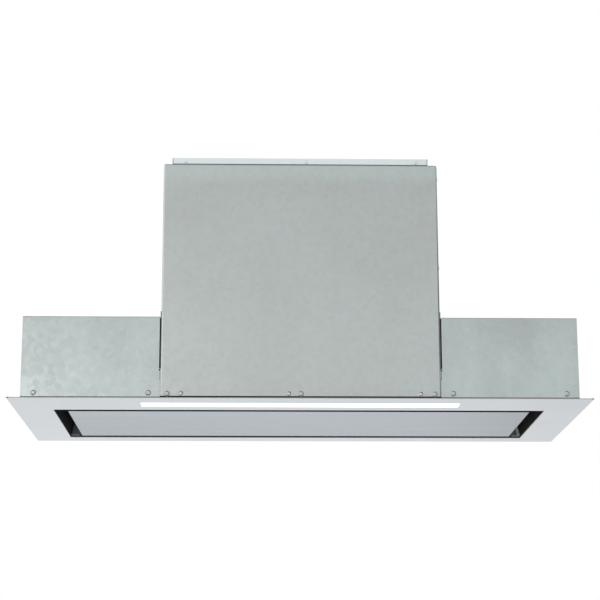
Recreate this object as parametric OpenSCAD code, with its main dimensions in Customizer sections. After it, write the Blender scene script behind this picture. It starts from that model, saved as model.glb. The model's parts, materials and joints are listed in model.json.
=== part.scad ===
// Built-in range hood with a perimeter suction panel.
// X runs across the hood, Y from its front to its back, Z up.
// The origin is the centre of the bottom frame's underside, and all sizes are millimetres.

/* [Bottom frame] */
// Width of the bottom frame
frame_w = 860; // [820:1:900]
// Depth of the bottom frame
frame_d = 380; // [374:1:400]
// Thickness of the frame's sheet
frame_t = 1.2; // [1:0.1:1.5]
// Distance from the frame's side edge to the suction opening
open_side = 58; // [56:1:66]
// Distance from the frame's front edge to the suction opening
open_front = 94.5; // [93:0.5:100]
// Distance from the frame's rear edge to the suction opening
open_rear = 34.5; // [34:0.5:38]
// Height of the upstand that the body is screwed to
upstand_h = 18; // [17:0.5:22]
// Height of the black foam seal under the body sheets
seal_h = 4.8; // [4:0.1:5]

/* [Body] */
// Overhang of the frame beyond the body at each side
side_overhang = 17.5; // [15:0.5:20]
// Overhang of the frame beyond the body at the front
front_overhang = 20; // [18:0.5:22]
// Overhang of the frame beyond the body at the rear
rear_overhang = 20; // [18:0.5:21]
// Thickness of the galvanised sheet
sheet = 1; // [0.8:0.1:1.1]
// Height of the wings' top above the frame's underside
wing_top = 127.2; // [120:0.5:140]
// Height of the foam-side edge of the cover above the frame's underside
cover_bottom = 7.3; // [6.5:0.1:8]
// Height of the cover's top above the frame's underside
cover_top = 366; // [362:1:400]
// Width of the centre box over its front cover
cover_w = 415; // [400:1:440]
// Depth of the cover's folded side edges
cover_return = 25; // [20:1:30]
// Depth of the cover's folded top edge
cover_top_return = 14; // [10:1:18]
// Outer radius of the cover's folds
fold_r = 2.5; // [2:0.1:3]
// Radius of the cover's two upper corners
corner_r = 4; // [3.5:0.1:6]
// Height of the lip that stands up at the front of the top plate
lip_h = 15.3; // [10:0.1:20]
// Width of the lip
lip_w = 390; // [300:1:394]
// Open slot between each wing and the cover
wing_slot = 2; // [1.5:0.1:3]

/* [Suction] */
// Depth of the grease filter seat above the frame's underside
seat_z = 48; // [46:0.5:52]
// Height at which the funnel's sloping walls turn upright
funnel_z = 30; // [27:0.5:31]
// How far the funnel's walls lean in
funnel_lean = 8; // [6:0.5:9]
// Width of the seat that a filter bears on
seat_w = 12; // [9:1:14]
// Gap round the perimeter panel at its ends
gap_side = 20; // [18:0.5:24]
// Gap in front of and behind the perimeter panel
gap_depth = 14; // [13.5:0.5:16]
// Height of the panel's folded edges
panel_h = 10; // [9:0.5:10.5]
// Thickness of a filter
filter_t = 9; // [8:0.5:10]
// Width of a filter's frame
filter_rim = 10; // [8:0.5:12]

/* [Light] */
// Length of the light's lens
light_w = 474; // [300:1:480]
// Width of the light's lens
light_d = 32; // [28:0.5:34]
// Distance from the frame's front edge to the lens
light_front = 38.5; // [37:0.5:41]
// Height of the light's housing
light_h = 22; // [18:0.5:26]
// Number of light emitting diodes
led_count = 26; // [10:1:30]

/* [Blower] */
// Width of the blower's casing
casing_w = 150; // [146:1:160]
// Wall of the blower's casing
casing_t = 2; // [1.5:0.1:2.5]
// Radius of the fan wheel
wheel_r = 90; // [86:1:92]
// Number of blades on each side of the fan wheel
blades = 36; // [24:1:42]
// Radius of the motor
motor_r = 42; // [36:1:46]
// Radius of the motor's shaft
shaft_r = 4; // [3:0.5:5]
// Number of bars across the inlet guard
guard_bars = 9; // [7:2:11]

/* [Duct outlet] */
// Outer radius of the duct spigot
spigot_r = 75; // [74:0.5:76]
// Height of the duct spigot above the top plate
spigot_h = 40; // [34:1:44]
// Wall of the duct spigot
spigot_t = 2; // [1.8:0.1:2.4]
// Distance of the spigot's centre behind the frame's centre
spigot_y = 62; // [58:1:66]
// Radius of the cable hole in the gland
cable_r = 4; // [3:0.5:5]

/* [Hidden] */
$fn = 48;

// Clearances
touch_gap = 0.3;
run_gap = 0.05;
cut = 1;

// Places that follow from the sizes
front_y = -frame_d / 2;
body_x = frame_w / 2 - side_overhang;
body_y0 = front_y + front_overhang;
body_y1 = frame_d / 2 - rear_overhang;
open_x = frame_w / 2 - open_side;
open_y0 = front_y + open_front;
open_y1 = frame_d / 2 - open_rear;
wing_bottom = frame_t + seal_h;
seal_seat_h = 0.3;
cover_x = cover_w / 2;
wing_x0 = cover_x + touch_gap;
wing_fold_r = 0.5;
cover_in_y = body_y0 + fold_r + touch_gap;
joggle_y = body_y0 + cover_return + touch_gap;
lip_y = body_y0 + cover_top_return + touch_gap;
plate_top = cover_top - sheet;
plate_z = plate_top - sheet;
floor_top = seat_z + sheet;

// Funnel walls, which lean in between the frame and funnel_z
neck_x = open_x - funnel_lean;
neck_y0 = open_y0 + funnel_lean;
neck_y1 = open_y1 - funnel_lean;
lean = funnel_lean / (funnel_z - frame_t);
function funnel_front(z) = open_y0 + lean * (z - frame_t);
function funnel_rear(z) = open_y1 - lean * (z - frame_t);
funnel_foot = 8;

// Perimeter panel
panel_z0 = 0.4;
panel_z1 = panel_z0 + panel_h;
panel_x = open_x - gap_side;
panel_y0 = open_y0 + gap_depth;
panel_y1 = open_y1 - gap_depth;
panel_t = 1;
panel_fold_r = 1.6;
channel_in = 60;
channel_foot = 20;
channel_hw = 10;
channel_h = panel_h - panel_t - 2;
hinge_r = 2;
hinge_y = panel_y1 + 5.5;
hinge_z = panel_z0 + 6.6;
hinge_eye_r = 4.5;
lug_r = 4;
lug_x = panel_x - 34;
ear_x = lug_x + 8;
plate_pair_t = 2;
strike_x = panel_x - 102;
strike_w = 30;
strike_t = 1;
strike_depth = 12.5;

// Filters, one at each side of the middle
filter_gap = 1;
filter_x0 = filter_gap;
filter_x1 = neck_x - filter_gap;
filter_y0 = neck_y0 + filter_gap;
filter_y1 = neck_y1 - filter_gap;
filter_z0 = seat_z - filter_t;
filter_xc = (filter_x0 + filter_x1) / 2;
mesh_t = 5;
tab_w = 18;
tab_t = 2;
tab_offset = 120;
catch_w = 28;
catch_t = 2;
catch_z1 = filter_z0 - touch_gap;
catch_z0 = catch_z1 - catch_t;
catch_reach = 4.5;
catch_back = 34;
pull_w = 40;
pull_d = 8;
pull_h = 9;
guide_w = 3;

// Light
light_x = light_w / 2;
light_y0 = front_y + light_front;
light_y1 = light_y0 + light_d;
lens_step = 4;
lens_t = 2;
housing_step = 6;
housing_t = 1.5;
board_t = 1.6;
board_w = 12;
board_end = 6;
chip = [3.5, 2.8, 0.8];

// Blower: a spiral that starts at the tongue and grows to the outlet
axis_y = -40;
axis_up = 151;
tongue_a = 55;
spiral_steps = 30;
tongue_gap = 10;
spiral_growth = 48;
neck_down = 64;
outlet_gap = 1;
inlet_in = 18;
tongue_r = wheel_r + tongue_gap;
outlet_r = tongue_r + spiral_growth;
axis_z = floor_top + axis_up;
casing_x = casing_w / 2;
neck_z = plate_z - neck_down;
outlet_hy = spigot_r + outlet_gap;
inlet_r = wheel_r - inlet_in;
function spiral_r(a) = tongue_r + (outlet_r - tongue_r) * (a - tongue_a) / (360 - tongue_a);
function spiral(extra) = [
    for (i = [0 : spiral_steps])
        let (a = tongue_a + i * (360 - tongue_a) / spiral_steps, r = spiral_r(a) + extra)
            [axis_y + r * cos(a), axis_z + r * sin(a)]
];
function casing_outline(extra, top) = concat(
    spiral(extra),
    [
        [axis_y + outlet_r + extra, neck_z],
        [spigot_y + outlet_hy + extra, top],
        [spigot_y - outlet_hy - extra, top]
    ]
);
wheel_gap = 11;
wheel_x = casing_x - wheel_gap;
blade_depth = 14;
blade_lean = 8;
blade_t = 1.6;
blade_r0 = wheel_r - blade_depth;
blade_r1 = wheel_r - 1;
ring_t = 3;
ring_w = 10;
hub_r = 12;
hub_left = 14;
hub_right = 10;
disc_t = 3;
motor_x0 = 13;
cone_h = 8;
cone_in = 12;
shaft_left = 16;
shaft_in = 4;
bearing_r = 2 * shaft_r;
bearing_w = 6;
spider_t = 3;
spider_arm_w = 12;
spider_arms = 3;
spider_r = wheel_r - 2;
spider_screw_r = (inlet_r + spider_r) / 2;
casing_flange = 10;
capacitor_r = 17;
capacitor_len = 66;
capacitor_x = 175;
capacitor_down = 60;
stud_r = 4;
stud_len = 6;

// Outlet collar and its two flaps
collar_flange_r = spigot_r + 17;
collar_flange_t = 2;
collar_screw_r = spigot_r + 10;
bar_w = 14;
bar_t = 3;
flap_axis_dy = 4;
flap_t = 1.5;
flap_axis_z = plate_top + 15;
flap_r = spigot_r - spigot_t - 1.5;
flap_knuckle_r = 2.2;
flap_pin_r = 1.5;
ledge_w = 4;
ledge_t = 2.2;

// Cable gland
gland = [-150, body_y1 - 30];
gland_r = 10;
gland_up = 12;
gland_down = 10;

// Fasteners
screw_r = 1.7;
screw_head_r = 3.5;
screw_head_h = 2;
screw_len = 8;
short_screw_len = 5;
seat_hole = 0.05;
cover_screw_z = frame_t + 9.2;
wing_screw_z = frame_t + 10.4;
cover_screw_x = [-cover_x + 10, 0, cover_x - 10];
cover_side_screw_z = [floor_top + 18, floor_top + 158, cover_top - 19];
wing_screw_x = [cover_x + 17.5, body_x - 19];
rear_flange_w = 12;
rear_screw_x = wing_x0 - rear_flange_w / 2;
dimple_x = [-cover_x + 30.5, -18, cover_x - 30.5];
dimple_z = frame_t + 9.8;
dimple_r = 2.2;
dimple_depth = 0.4;
rivet_x = [-lip_w / 2 + 20, 9, lip_w / 2 - 18];
rivet_r = 1.6;
rivet_z = plate_top + lip_h / 2 + 2;
fixing_hole_r = 2.5;
fixing_hole_y = body_y1 - 50;
fixing_hole_z = frame_t + 11.8;

// Electronics, in the bays beside the funnel and the light
control_lid_t = 2;
control_x0 = open_x + funnel_foot + 1 + control_lid_t;
control_x1 = body_x - 2 * sheet;
control_d = 150;
control_h = 44;
control_wall = 2;
control_y = -60;
board_stand = 4;
relays = 4;
relay = [11, 14, 18];
relay_y = 12;
relay_pitch = 20;
relay_up = 14;
core = [12, 34, 28];
core_y = 100;
core_up = 8;
driver = [108, 38, 26];
driver_lug = 8;
driver_gap = 20;
driver_back = 6;

// Box between two corners
module block(lo, hi) {
    translate(lo) cube(hi - lo);
}

// Outline in Y and Z, drawn along X from x0 to x1
module along_x(x0, x1) {
    translate([x0, 0, 0]) rotate([90, 0, 90]) linear_extrude(x1 - x0) children();
}

// Outline in X and Z, drawn along Y from y0 to y1
module along_y(y0, y1) {
    translate([0, y1, 0]) rotate([90, 0, 0]) linear_extrude(y1 - y0) children();
}

// The right-hand piece, or its mirror image at the left
module at_side(left) {
    if (left) mirror([1, 0, 0]) children();
    else children();
}

// The same piece at both sides
module both_sides() {
    children();
    mirror([1, 0, 0]) children();
}

// Rectangle whose lower two corners are rounded by r_low and its upper two by r_high
module corner_rect(x0, x1, y0, y1, r_low, r_high) {
    difference() {
        translate([x0, y0]) square([x1 - x0, y1 - y0]);
        if (r_low > 0) {
            for (x = [x0, x1]) rounded_corner(x, y0, x == x0 ? 1 : -1, 1, r_low);
        }
        if (r_high > 0) {
            for (x = [x0, x1]) rounded_corner(x, y1, x == x0 ? 1 : -1, -1, r_high);
        }
    }
}

// What rounding takes off a corner, with sx and sy pointing into the sheet
module rounded_corner(x, y, sx, sy, r) {
    difference() {
        translate([min(x - sx * cut, x + sx * r), min(y - sy * cut, y + sy * r)])
            square([r + cut, r + cut]);
        translate([x + sx * r, y + sy * r]) circle(r);
    }
}

// Pan-head screw along +Z from the sheet's face at z = 0, its shank below
module screw(length = screw_len) {
    difference() {
        union() {
            translate([0, 0, -length]) cylinder(r = screw_r, h = length);
            rotate_extrude() polygon([
                [0, 0], [screw_head_r, 0], [screw_head_r, screw_head_h * 0.4],
                [screw_head_r * 0.72, screw_head_h * 0.85], [screw_head_r * 0.35, screw_head_h],
                [0, screw_head_h]
            ]);
        }
        for (a = [0, 90]) rotate([0, 0, a])
            translate([-screw_head_r * 0.55, -0.4, screw_head_h * 0.35])
                cube([screw_head_r * 1.1, 0.8, screw_head_h]);
    }
}

// Hole for a screw, along Z through z = 0
module screw_hole(depth) {
    translate([0, 0, -depth]) cylinder(r = screw_r + seat_hole, h = 2 * depth);
}

// Children turned to point out of the front, the rear or the right side at a place
module facing_front(x, y, z) {
    translate([x, y, z]) rotate([90, 0, 0]) children();
}

module facing_rear(x, y, z) {
    translate([x, y, z]) rotate([-90, 0, 0]) children();
}

module facing_right(x, y, z) {
    translate([x, y, z]) rotate([0, 90, 0]) children();
}

// Places of the screws through the body's front and sides
module cover_bottom_places() {
    for (x = cover_screw_x) facing_front(x, body_y0, cover_screw_z) children();
}

module cover_side_places() {
    both_sides() for (z = cover_side_screw_z)
        facing_right(cover_x, body_y0 + cover_return / 2, z) children();
}

module wing_places() {
    both_sides() for (x = wing_screw_x) facing_front(x, body_y0, wing_screw_z) children();
}

module rear_bottom_places() {
    for (x = cover_screw_x) facing_rear(x, body_y1, cover_screw_z) children();
    both_sides() for (x = wing_screw_x) facing_rear(x, body_y1, wing_screw_z) children();
}

module rear_side_places() {
    both_sides() for (z = cover_side_screw_z) facing_rear(rear_screw_x, body_y1, z) children();
}

module collar_screw_places() {
    for (a = [45 : 90 : 315])
        translate([collar_screw_r * cos(a), spigot_y + collar_screw_r * sin(a), plate_top]) children();
}

module casing_screw_places() {
    for (x = [-1, 1], y = [-1, 1])
        translate([x * (casing_x + casing_flange / 2), spigot_y + y * 60, plate_top]) children();
}

module fixing_holes() {
    for (y = [-1, 1]) translate([0, y * fixing_hole_y, fixing_hole_z])
        rotate([0, 90, 0]) cylinder(r = fixing_hole_r, h = frame_w, center = true);
}

// Bottom frame: the visible rim with its suction opening, its light slot and its upstand
module bottom_frame() {
    color([0.83, 0.84, 0.85]) difference() {
        union() {
            difference() {
                block([-frame_w / 2, front_y, 0], [frame_w / 2, frame_d / 2, frame_t]);
                block([-open_x, open_y0, -cut], [open_x, open_y1, frame_t + cut]);
                block([-light_x, light_y0, -cut], [light_x, light_y1, frame_t + cut]);
            }
            difference() {
                block([-body_x + sheet, body_y0 + sheet, frame_t],
                      [body_x - sheet, body_y1 - sheet, frame_t + upstand_h]);
                block([-body_x + 2 * sheet, body_y0 + 2 * sheet, frame_t - cut],
                      [body_x - 2 * sheet, body_y1 - 2 * sheet, frame_t + upstand_h + cut]);
            }
            // seat pressed up under the foam seal, which leaves the free rim outside it flat
            difference() {
                block([-body_x, body_y0, frame_t / 2], [body_x, body_y1, frame_t + seal_seat_h]);
                block([-body_x + 1.5 * sheet, body_y0 + 1.5 * sheet, -cut],
                      [body_x - 1.5 * sheet, body_y1 - 1.5 * sheet, frame_t + upstand_h + cut]);
            }
        }
        cover_bottom_places() screw_hole(screw_len);
        wing_places() screw_hole(screw_len);
        rear_bottom_places() screw_hole(screw_len);
        fixing_holes();
    }
}

// Black foam seal that fills the joint between the frame and the body sheets
module rim_seal() {
    color([0.09, 0.09, 0.1]) difference() {
        union() {
            block([-body_x, body_y0, frame_t + seal_seat_h], [body_x, body_y1, wing_bottom]);
            block([-cover_x, body_y0, frame_t + seal_seat_h], [cover_x, body_y0 + sheet, cover_bottom]);
        }
        block([-body_x + sheet, body_y0 + sheet, frame_t - cut],
              [body_x - sheet, body_y1 - sheet, cover_bottom + cut]);
        cover_bottom_places() cylinder(r = screw_head_r + touch_gap, h = 4 * sheet, center = true);
    }
}

// Wing casing at the right: its front, top and rear are one folded sheet
module wing_casing() {
    color([0.74, 0.77, 0.76]) difference() {
        union() {
            along_x(wing_x0, body_x) difference() {
                corner_rect(body_y0, body_y1, wing_bottom, wing_top, 0, wing_fold_r + sheet);
                corner_rect(body_y0 + sheet, body_y1 - sheet, wing_bottom - cut,
                            wing_top - sheet, 0, wing_fold_r);
            }
            block([wing_x0, body_y0 + sheet, wing_top - sheet],
                  [wing_x0 + sheet, body_y1 - sheet, wing_top + 8.4]);
        }
        // slot beside the cover, with two closer steps below it
        block([wing_x0 - cut, body_y0 - cut, 45],
              [cover_x + wing_slot, body_y0 + sheet, wing_top + cut]);
        block([wing_x0 - cut, body_y0 - cut, 31],
              [wing_x0 + (cover_x + wing_slot - wing_x0) / 3, body_y0 + sheet, 45 + cut]);
        wing_places() screw_hole(2 * sheet);
        rear_bottom_places() screw_hole(2 * sheet);
    }
}

// End plate at the right
module end_plate() {
    color([0.74, 0.77, 0.76]) difference() {
        along_x(body_x - sheet, body_x)
            corner_rect(body_y0 + sheet, body_y1 - sheet, wing_bottom, wing_top - sheet, 0, wing_fold_r);
        fixing_holes();
    }
}

// Side of the centre box at the right, stepped in behind the cover's folded edge
module box_side() {
    x_in = cover_x - 2 * sheet;
    color([0.7, 0.73, 0.72]) difference() {
        union() {
            block([wing_x0 - sheet, joggle_y, floor_top], [wing_x0, body_y1 - sheet, plate_z]);
            block([x_in, joggle_y, floor_top], [wing_x0, joggle_y + sheet, plate_z]);
            block([x_in, cover_in_y, floor_top], [x_in + sheet, joggle_y + sheet, plate_z]);
            // flange that the rear panel is screwed to
            block([wing_x0 - rear_flange_w, body_y1 - 2 * sheet, floor_top],
                  [wing_x0, body_y1 - sheet, plate_z]);
        }
        // air way from the wing into the centre box
        block([x_in - cut, joggle_y + 20, floor_top + 8],
              [wing_x0 + cut, body_y1 - 22, wing_top - 9]);
        cover_side_places() screw_hole(4 * sheet);
        rear_side_places() screw_hole(4 * sheet);
    }
}

module rear_panel() {
    color([0.7, 0.73, 0.72]) difference() {
        block([-wing_x0, body_y1 - sheet, wing_bottom], [wing_x0, body_y1, plate_top]);
        rear_bottom_places() screw_hole(2 * sheet);
        rear_side_places() screw_hole(2 * sheet);
    }
}

// Top plate with the lip that shows above the cover
module top_plate() {
    color([0.84, 0.87, 0.88]) difference() {
        union() {
            block([-cover_x + 2 * sheet, cover_in_y, plate_z],
                  [cover_x - 2 * sheet, joggle_y + sheet, plate_top]);
            block([-wing_x0, joggle_y, plate_z], [wing_x0, body_y1 - sheet, plate_top]);
            block([-lip_w / 2, lip_y, plate_z], [lip_w / 2, lip_y + sheet, plate_top + lip_h]);
        }
        translate([0, spigot_y, plate_z - cut]) cylinder(r = spigot_r - spigot_t, h = 3 * sheet, $fn = 96);
        translate([gland[0], gland[1], plate_z - cut])
            cylinder(r = gland_r * 0.7 + seat_hole, h = 3 * sheet);
        collar_screw_places() screw_hole(2 * sheet);
        casing_screw_places() screw_hole(2 * sheet);
        for (x = rivet_x) facing_front(x, lip_y, rivet_z)
            cylinder(r = rivet_r, h = 4 * sheet, center = true);
    }
}

// Front cover of the centre box, folded at its top and sides
module front_cover() {
    y_in = body_y0 + sheet;
    side_fold_z = floor_top + 1.5;
    color([0.7, 0.73, 0.72]) difference() {
        union() {
            difference() {
                cover_block(0, cover_bottom);
                cover_block(sheet, cover_bottom - cut);
                // the top fold is shallower than the side folds
                block([-cover_x + fold_r, body_y0 + cover_top_return, cover_top - fold_r],
                      [cover_x - fold_r, body_y0 + cover_return + cut, cover_top + cut]);
                // the side folds stop above the plenum floor
                block([-cover_x - cut, y_in, cover_bottom - cut],
                      [cover_x + cut, body_y0 + cover_return + cut, side_fold_z]);
            }
        }
        // notches that let the cover slip over its lower screws
        for (x = cover_screw_x)
            block([x - screw_r - seat_hole, body_y0 - cut, cover_bottom - cut],
                  [x + screw_r + seat_hole, y_in + cut, cover_screw_z]);
        cover_bottom_places() screw_hole(2 * sheet);
        cover_side_places() screw_hole(2 * sheet);
        for (x = dimple_x) facing_front(x, body_y0 + dimple_depth, dimple_z) cylinder(r = dimple_r, h = 2);
    }
}

// The cover's outer block, or what is hollowed out of it
module cover_block(inset, z0) {
    x = cover_x - inset;
    y0 = body_y0 + inset;
    y1 = body_y0 + cover_return + inset;
    z1 = cover_top - inset;
    intersection() {
        translate([0, 0, z0]) linear_extrude(z1 - z0) corner_rect(-x, x, y0, y1, fold_r - inset, 0);
        along_x(-x, x) corner_rect_front(y0, y1, z0 - cut, z1, fold_r - inset);
        along_y(y0, y1) corner_rect(-x, x, z0 - cut, z1, 0, inset > 0 ? 0 : corner_r);
    }
}

// Outline in Y and Z that is rounded only at its upper front corner
module corner_rect_front(y0, y1, z0, z1, r) {
    difference() {
        translate([y0, z0]) square([y1 - y0, z1 - z0]);
        rounded_corner(y0, z1, 1, -1, r);
    }
}

// Plenum floor, which the filters bear against from below
module plenum_floor() {
    color([0.7, 0.73, 0.72]) difference() {
        block([-body_x + sheet, body_y0 + sheet, seat_z],
              [body_x - sheet, body_y1 - sheet, floor_top]);
        block([-neck_x + seat_w, neck_y0 + seat_w, seat_z - cut],
              [neck_x - seat_w, neck_y1 - seat_w, floor_top + cut]);
    }
}

// Suction funnel: sloping walls from the frame's opening up to the filters
module funnel_outline(lo, hi, extra, z0, z1) {
    polygon([
        [lo - extra - lean * (frame_t - z0), z0], [hi + extra + lean * (frame_t - z0), z0],
        [hi - funnel_lean + extra, funnel_z], [hi - funnel_lean + extra, z1],
        [lo + funnel_lean - extra, z1], [lo + funnel_lean - extra, funnel_z]
    ]);
}

module funnel_solid(extra, z0, z1) {
    intersection() {
        along_x(-frame_w, frame_w) funnel_outline(open_y0, open_y1, extra, z0, z1);
        along_y(-frame_d, frame_d) funnel_outline(-open_x, open_x, extra, z0, z1);
    }
}

// Ear that carries a hinge pin of the panel
module hinge_ear() {
    along_x(ear_x, ear_x + plate_pair_t) difference() {
        union() {
            translate([hinge_y, hinge_z]) circle(hinge_eye_r);
            polygon([
                [hinge_y - 4.2, hinge_z + 1.5], [hinge_y + 4, hinge_z - 2],
                [funnel_rear(hinge_z - 1) + sheet / 2, hinge_z - 1],
                [funnel_rear(funnel_z - 3) + sheet / 2, funnel_z - 3],
                [hinge_y - 1.5, funnel_z - 3]
            ]);
        }
        translate([hinge_y, hinge_z]) circle(hinge_r + run_gap);
    }
}

module suction_funnel() {
    color([0.12, 0.12, 0.12]) {
        difference() {
            union() {
                funnel_solid(sheet, frame_t, seat_z);
                block([-open_x - funnel_foot, open_y0 - funnel_foot, frame_t],
                      [open_x + funnel_foot, open_y1 + funnel_foot, frame_t + sheet]);
            }
            funnel_solid(0, frame_t - cut, seat_z + cut);
            // slots for the filters' catches and tabs
            for (s = [-1, 1]) {
                block([s * filter_xc - catch_w / 2 - 1, neck_y0 - 2 * sheet, catch_z0 - touch_gap],
                      [s * filter_xc + catch_w / 2 + 1, neck_y0 + sheet, catch_z1 + touch_gap]);
                for (o = [-1, 1])
                    block([s * filter_xc + o * tab_offset - tab_w / 2 - 0.5, neck_y1 - sheet,
                           seat_z - 5],
                          [s * filter_xc + o * tab_offset + tab_w / 2 + 0.5, neck_y1 + 2 * sheet,
                           seat_z - 5 + tab_t + 1]);
            }
        }
        both_sides() hinge_ear();
    }
}

// Frame of the right-hand filter, with two tabs behind and two guides for the catch
module filter_frame() {
    color([0.75, 0.76, 0.77]) {
        difference() {
            block([filter_x0, filter_y0, filter_z0], [filter_x1, filter_y1, seat_z]);
            block([filter_x0 + filter_rim, filter_y0 + filter_rim, filter_z0 - cut],
                  [filter_x1 - filter_rim, filter_y1 - filter_rim, seat_z + cut]);
        }
        for (o = [-1, 1])
            block([filter_xc + o * tab_offset - tab_w / 2, filter_y1 - 1, seat_z - 4.5],
                  [filter_xc + o * tab_offset + tab_w / 2, filter_y1 + catch_reach, seat_z - 4.5 + tab_t]);
        for (o = [-1, 1])
            block([filter_xc + o * (catch_w / 2 + touch_gap + guide_w / 2) - guide_w / 2,
                   filter_y0 + 1, catch_z0],
                  [filter_xc + o * (catch_w / 2 + touch_gap + guide_w / 2) + guide_w / 2,
                   filter_y0 + filter_rim, filter_z0]);
    }
}

module filter_mesh() {
    mesh_z = (filter_z0 + seat_z - mesh_t) / 2;
    color([0.62, 0.63, 0.64])
        block([filter_x0 + filter_rim, filter_y0 + filter_rim, mesh_z],
              [filter_x1 - filter_rim, filter_y1 - filter_rim, mesh_z + mesh_t]);
}

// Sliding catch of the right-hand filter, with its finger pull
module filter_catch() {
    color([0.15, 0.15, 0.16]) {
        block([filter_xc - catch_w / 2, filter_y0 - filter_gap - catch_reach, catch_z0],
              [filter_xc + catch_w / 2, filter_y0 + catch_back, catch_z1]);
        block([filter_xc - pull_w / 2, filter_y0 + catch_back - pull_d, catch_z1 - pull_h],
              [filter_xc + pull_w / 2, filter_y0 + catch_back, catch_z1]);
    }
}

// Lens of the light, stepped so that it drops into the slot from above
module light_lens() {
    color([1, 1, 1]) {
        block([-light_x + touch_gap, light_y0 + touch_gap, 0.3],
              [light_x - touch_gap, light_y1 - touch_gap, frame_t]);
        block([-light_x - lens_step, light_y0 - lens_step, frame_t],
              [light_x + lens_step, light_y1 + lens_step, frame_t + lens_t]);
    }
}

module light_housing() {
    x1 = light_x + housing_step;
    color([0.8, 0.81, 0.82]) difference() {
        block([-x1, light_y0 - housing_step, frame_t],
              [x1, light_y1 + housing_step, frame_t + light_h]);
        block([-x1 + housing_t, light_y0 - housing_step + housing_t, frame_t - cut],
              [x1 - housing_t, light_y1 + housing_step - housing_t, frame_t + light_h - housing_t]);
    }
}

module led_board() {
    z1 = frame_t + light_h - housing_t;
    yc = (light_y0 + light_y1) / 2;
    color([0.9, 0.9, 0.88])
        block([-light_x + board_end, yc - board_w / 2, z1 - board_t],
              [light_x - board_end, yc + board_w / 2, z1]);
}

module led_chips() {
    z1 = frame_t + light_h - housing_t - board_t;
    yc = (light_y0 + light_y1) / 2;
    pitch = (light_w - 4 * board_end) / led_count;
    color([0.95, 0.9, 0.6]) for (i = [0 : led_count - 1])
        translate([(i - (led_count - 1) / 2) * pitch - chip[0] / 2, yc - chip[1] / 2, z1 - chip[2]])
            cube(chip);
}

module led_driver() {
    x0 = -light_x - housing_step - driver_gap - driver[0];
    y0 = body_y0 + 2 * sheet + driver_back;
    lug_t = 2;
    color([0.92, 0.92, 0.9]) difference() {
        union() {
            block([x0, y0, frame_t], [x0 + driver[0], y0 + driver[1], frame_t + driver[2]]);
            block([x0 - driver_lug, y0 + driver_lug, frame_t],
                  [x0 + driver[0] + driver_lug, y0 + driver[1] - driver_lug, frame_t + lug_t]);
        }
        for (x = [x0 - driver_lug / 2, x0 + driver[0] + driver_lug / 2])
            translate([x, y0 + driver[1] / 2, frame_t - cut]) cylinder(r = screw_r, h = lug_t + 2 * cut);
    }
}

// Perimeter panel: a shallow tray whose four edges are folded up
module panel_solid(inset, z0, z1, r) {
    intersection() {
        along_x(-panel_x + inset, panel_x - inset)
            corner_rect(panel_y0 + inset, panel_y1 - inset, z0, z1, r, 0);
        along_y(panel_y0 + inset, panel_y1 - inset)
            corner_rect(-panel_x + inset, panel_x - inset, z0, z1, r, 0);
    }
}

module perimeter_panel() {
    color([0.7, 0.72, 0.75]) difference() {
        panel_solid(0, panel_z0, panel_z1, panel_fold_r);
        panel_solid(panel_t, panel_z0 + panel_t, panel_z1 + cut, panel_fold_r - panel_t);
    }
}

// Two top-hat channels that stiffen the panel
module panel_stiffeners() {
    z0 = panel_z0 + panel_t;
    w0 = channel_hw - sheet;
    h0 = channel_h - sheet;
    color([0.7, 0.73, 0.72]) for (y = [panel_y0 + channel_in, panel_y1 - channel_in])
        along_x(-panel_x + channel_in, panel_x - channel_in) polygon([
            [y - channel_foot, z0], [y - w0, z0], [y - w0, z0 + h0], [y + w0, z0 + h0],
            [y + w0, z0], [y + channel_foot, z0], [y + channel_foot, z0 + sheet],
            [y + channel_hw, z0 + sheet], [y + channel_hw, z0 + channel_h],
            [y - channel_hw, z0 + channel_h], [y - channel_hw, z0 + sheet],
            [y - channel_foot, z0 + sheet]
        ]);
}

module panel_strike_plates() {
    color([0.8, 0.8, 0.8]) both_sides() {
        block([strike_x - strike_w / 2, panel_y0, panel_z1],
              [strike_x + strike_w / 2, panel_y0 + strike_depth, panel_z1 + strike_t]);
        block([strike_x - strike_w / 2, panel_y0 + panel_t, panel_z1 - 6],
              [strike_x + strike_w / 2, panel_y0 + panel_t + strike_t, panel_z1]);
    }
}

// Magnet blocks on the funnel's front wall that hold the panel shut
module catch_magnets() {
    z0 = panel_z1 + strike_t + touch_gap;
    z1 = z0 + 8;
    color([0.16, 0.16, 0.17]) both_sides()
        along_x(strike_x - strike_w / 2, strike_x + strike_w / 2) polygon([
            [funnel_front(z0), z0], [panel_y0 + strike_depth, z0],
            [panel_y0 + strike_depth, z1], [funnel_front(z1), z1]
        ]);
}

module panel_hinge_lugs() {
    color([0.8, 0.8, 0.8]) both_sides() along_x(lug_x, lug_x + plate_pair_t) difference() {
        union() {
            translate([hinge_y, hinge_z]) circle(lug_r);
            translate([panel_y1, hinge_z - lug_r]) square([hinge_y - panel_y1, 2 * lug_r - 0.6]);
        }
        translate([hinge_y, hinge_z]) circle(hinge_r + 0.02);
    }
}

module panel_hinge_pins() {
    x0 = lug_x - 2;
    x1 = ear_x + plate_pair_t + 1;
    color([0.8, 0.8, 0.8]) both_sides() {
        facing_right(x0, hinge_y, hinge_z) cylinder(r = hinge_r, h = x1 - x0);
        facing_right(x0 - 1.5, hinge_y, hinge_z) cylinder(r = lug_r - 0.5, h = 1.5);
        facing_right(x1, hinge_y, hinge_z) cylinder(r = lug_r - 0.5, h = 1.5);
    }
}

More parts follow.
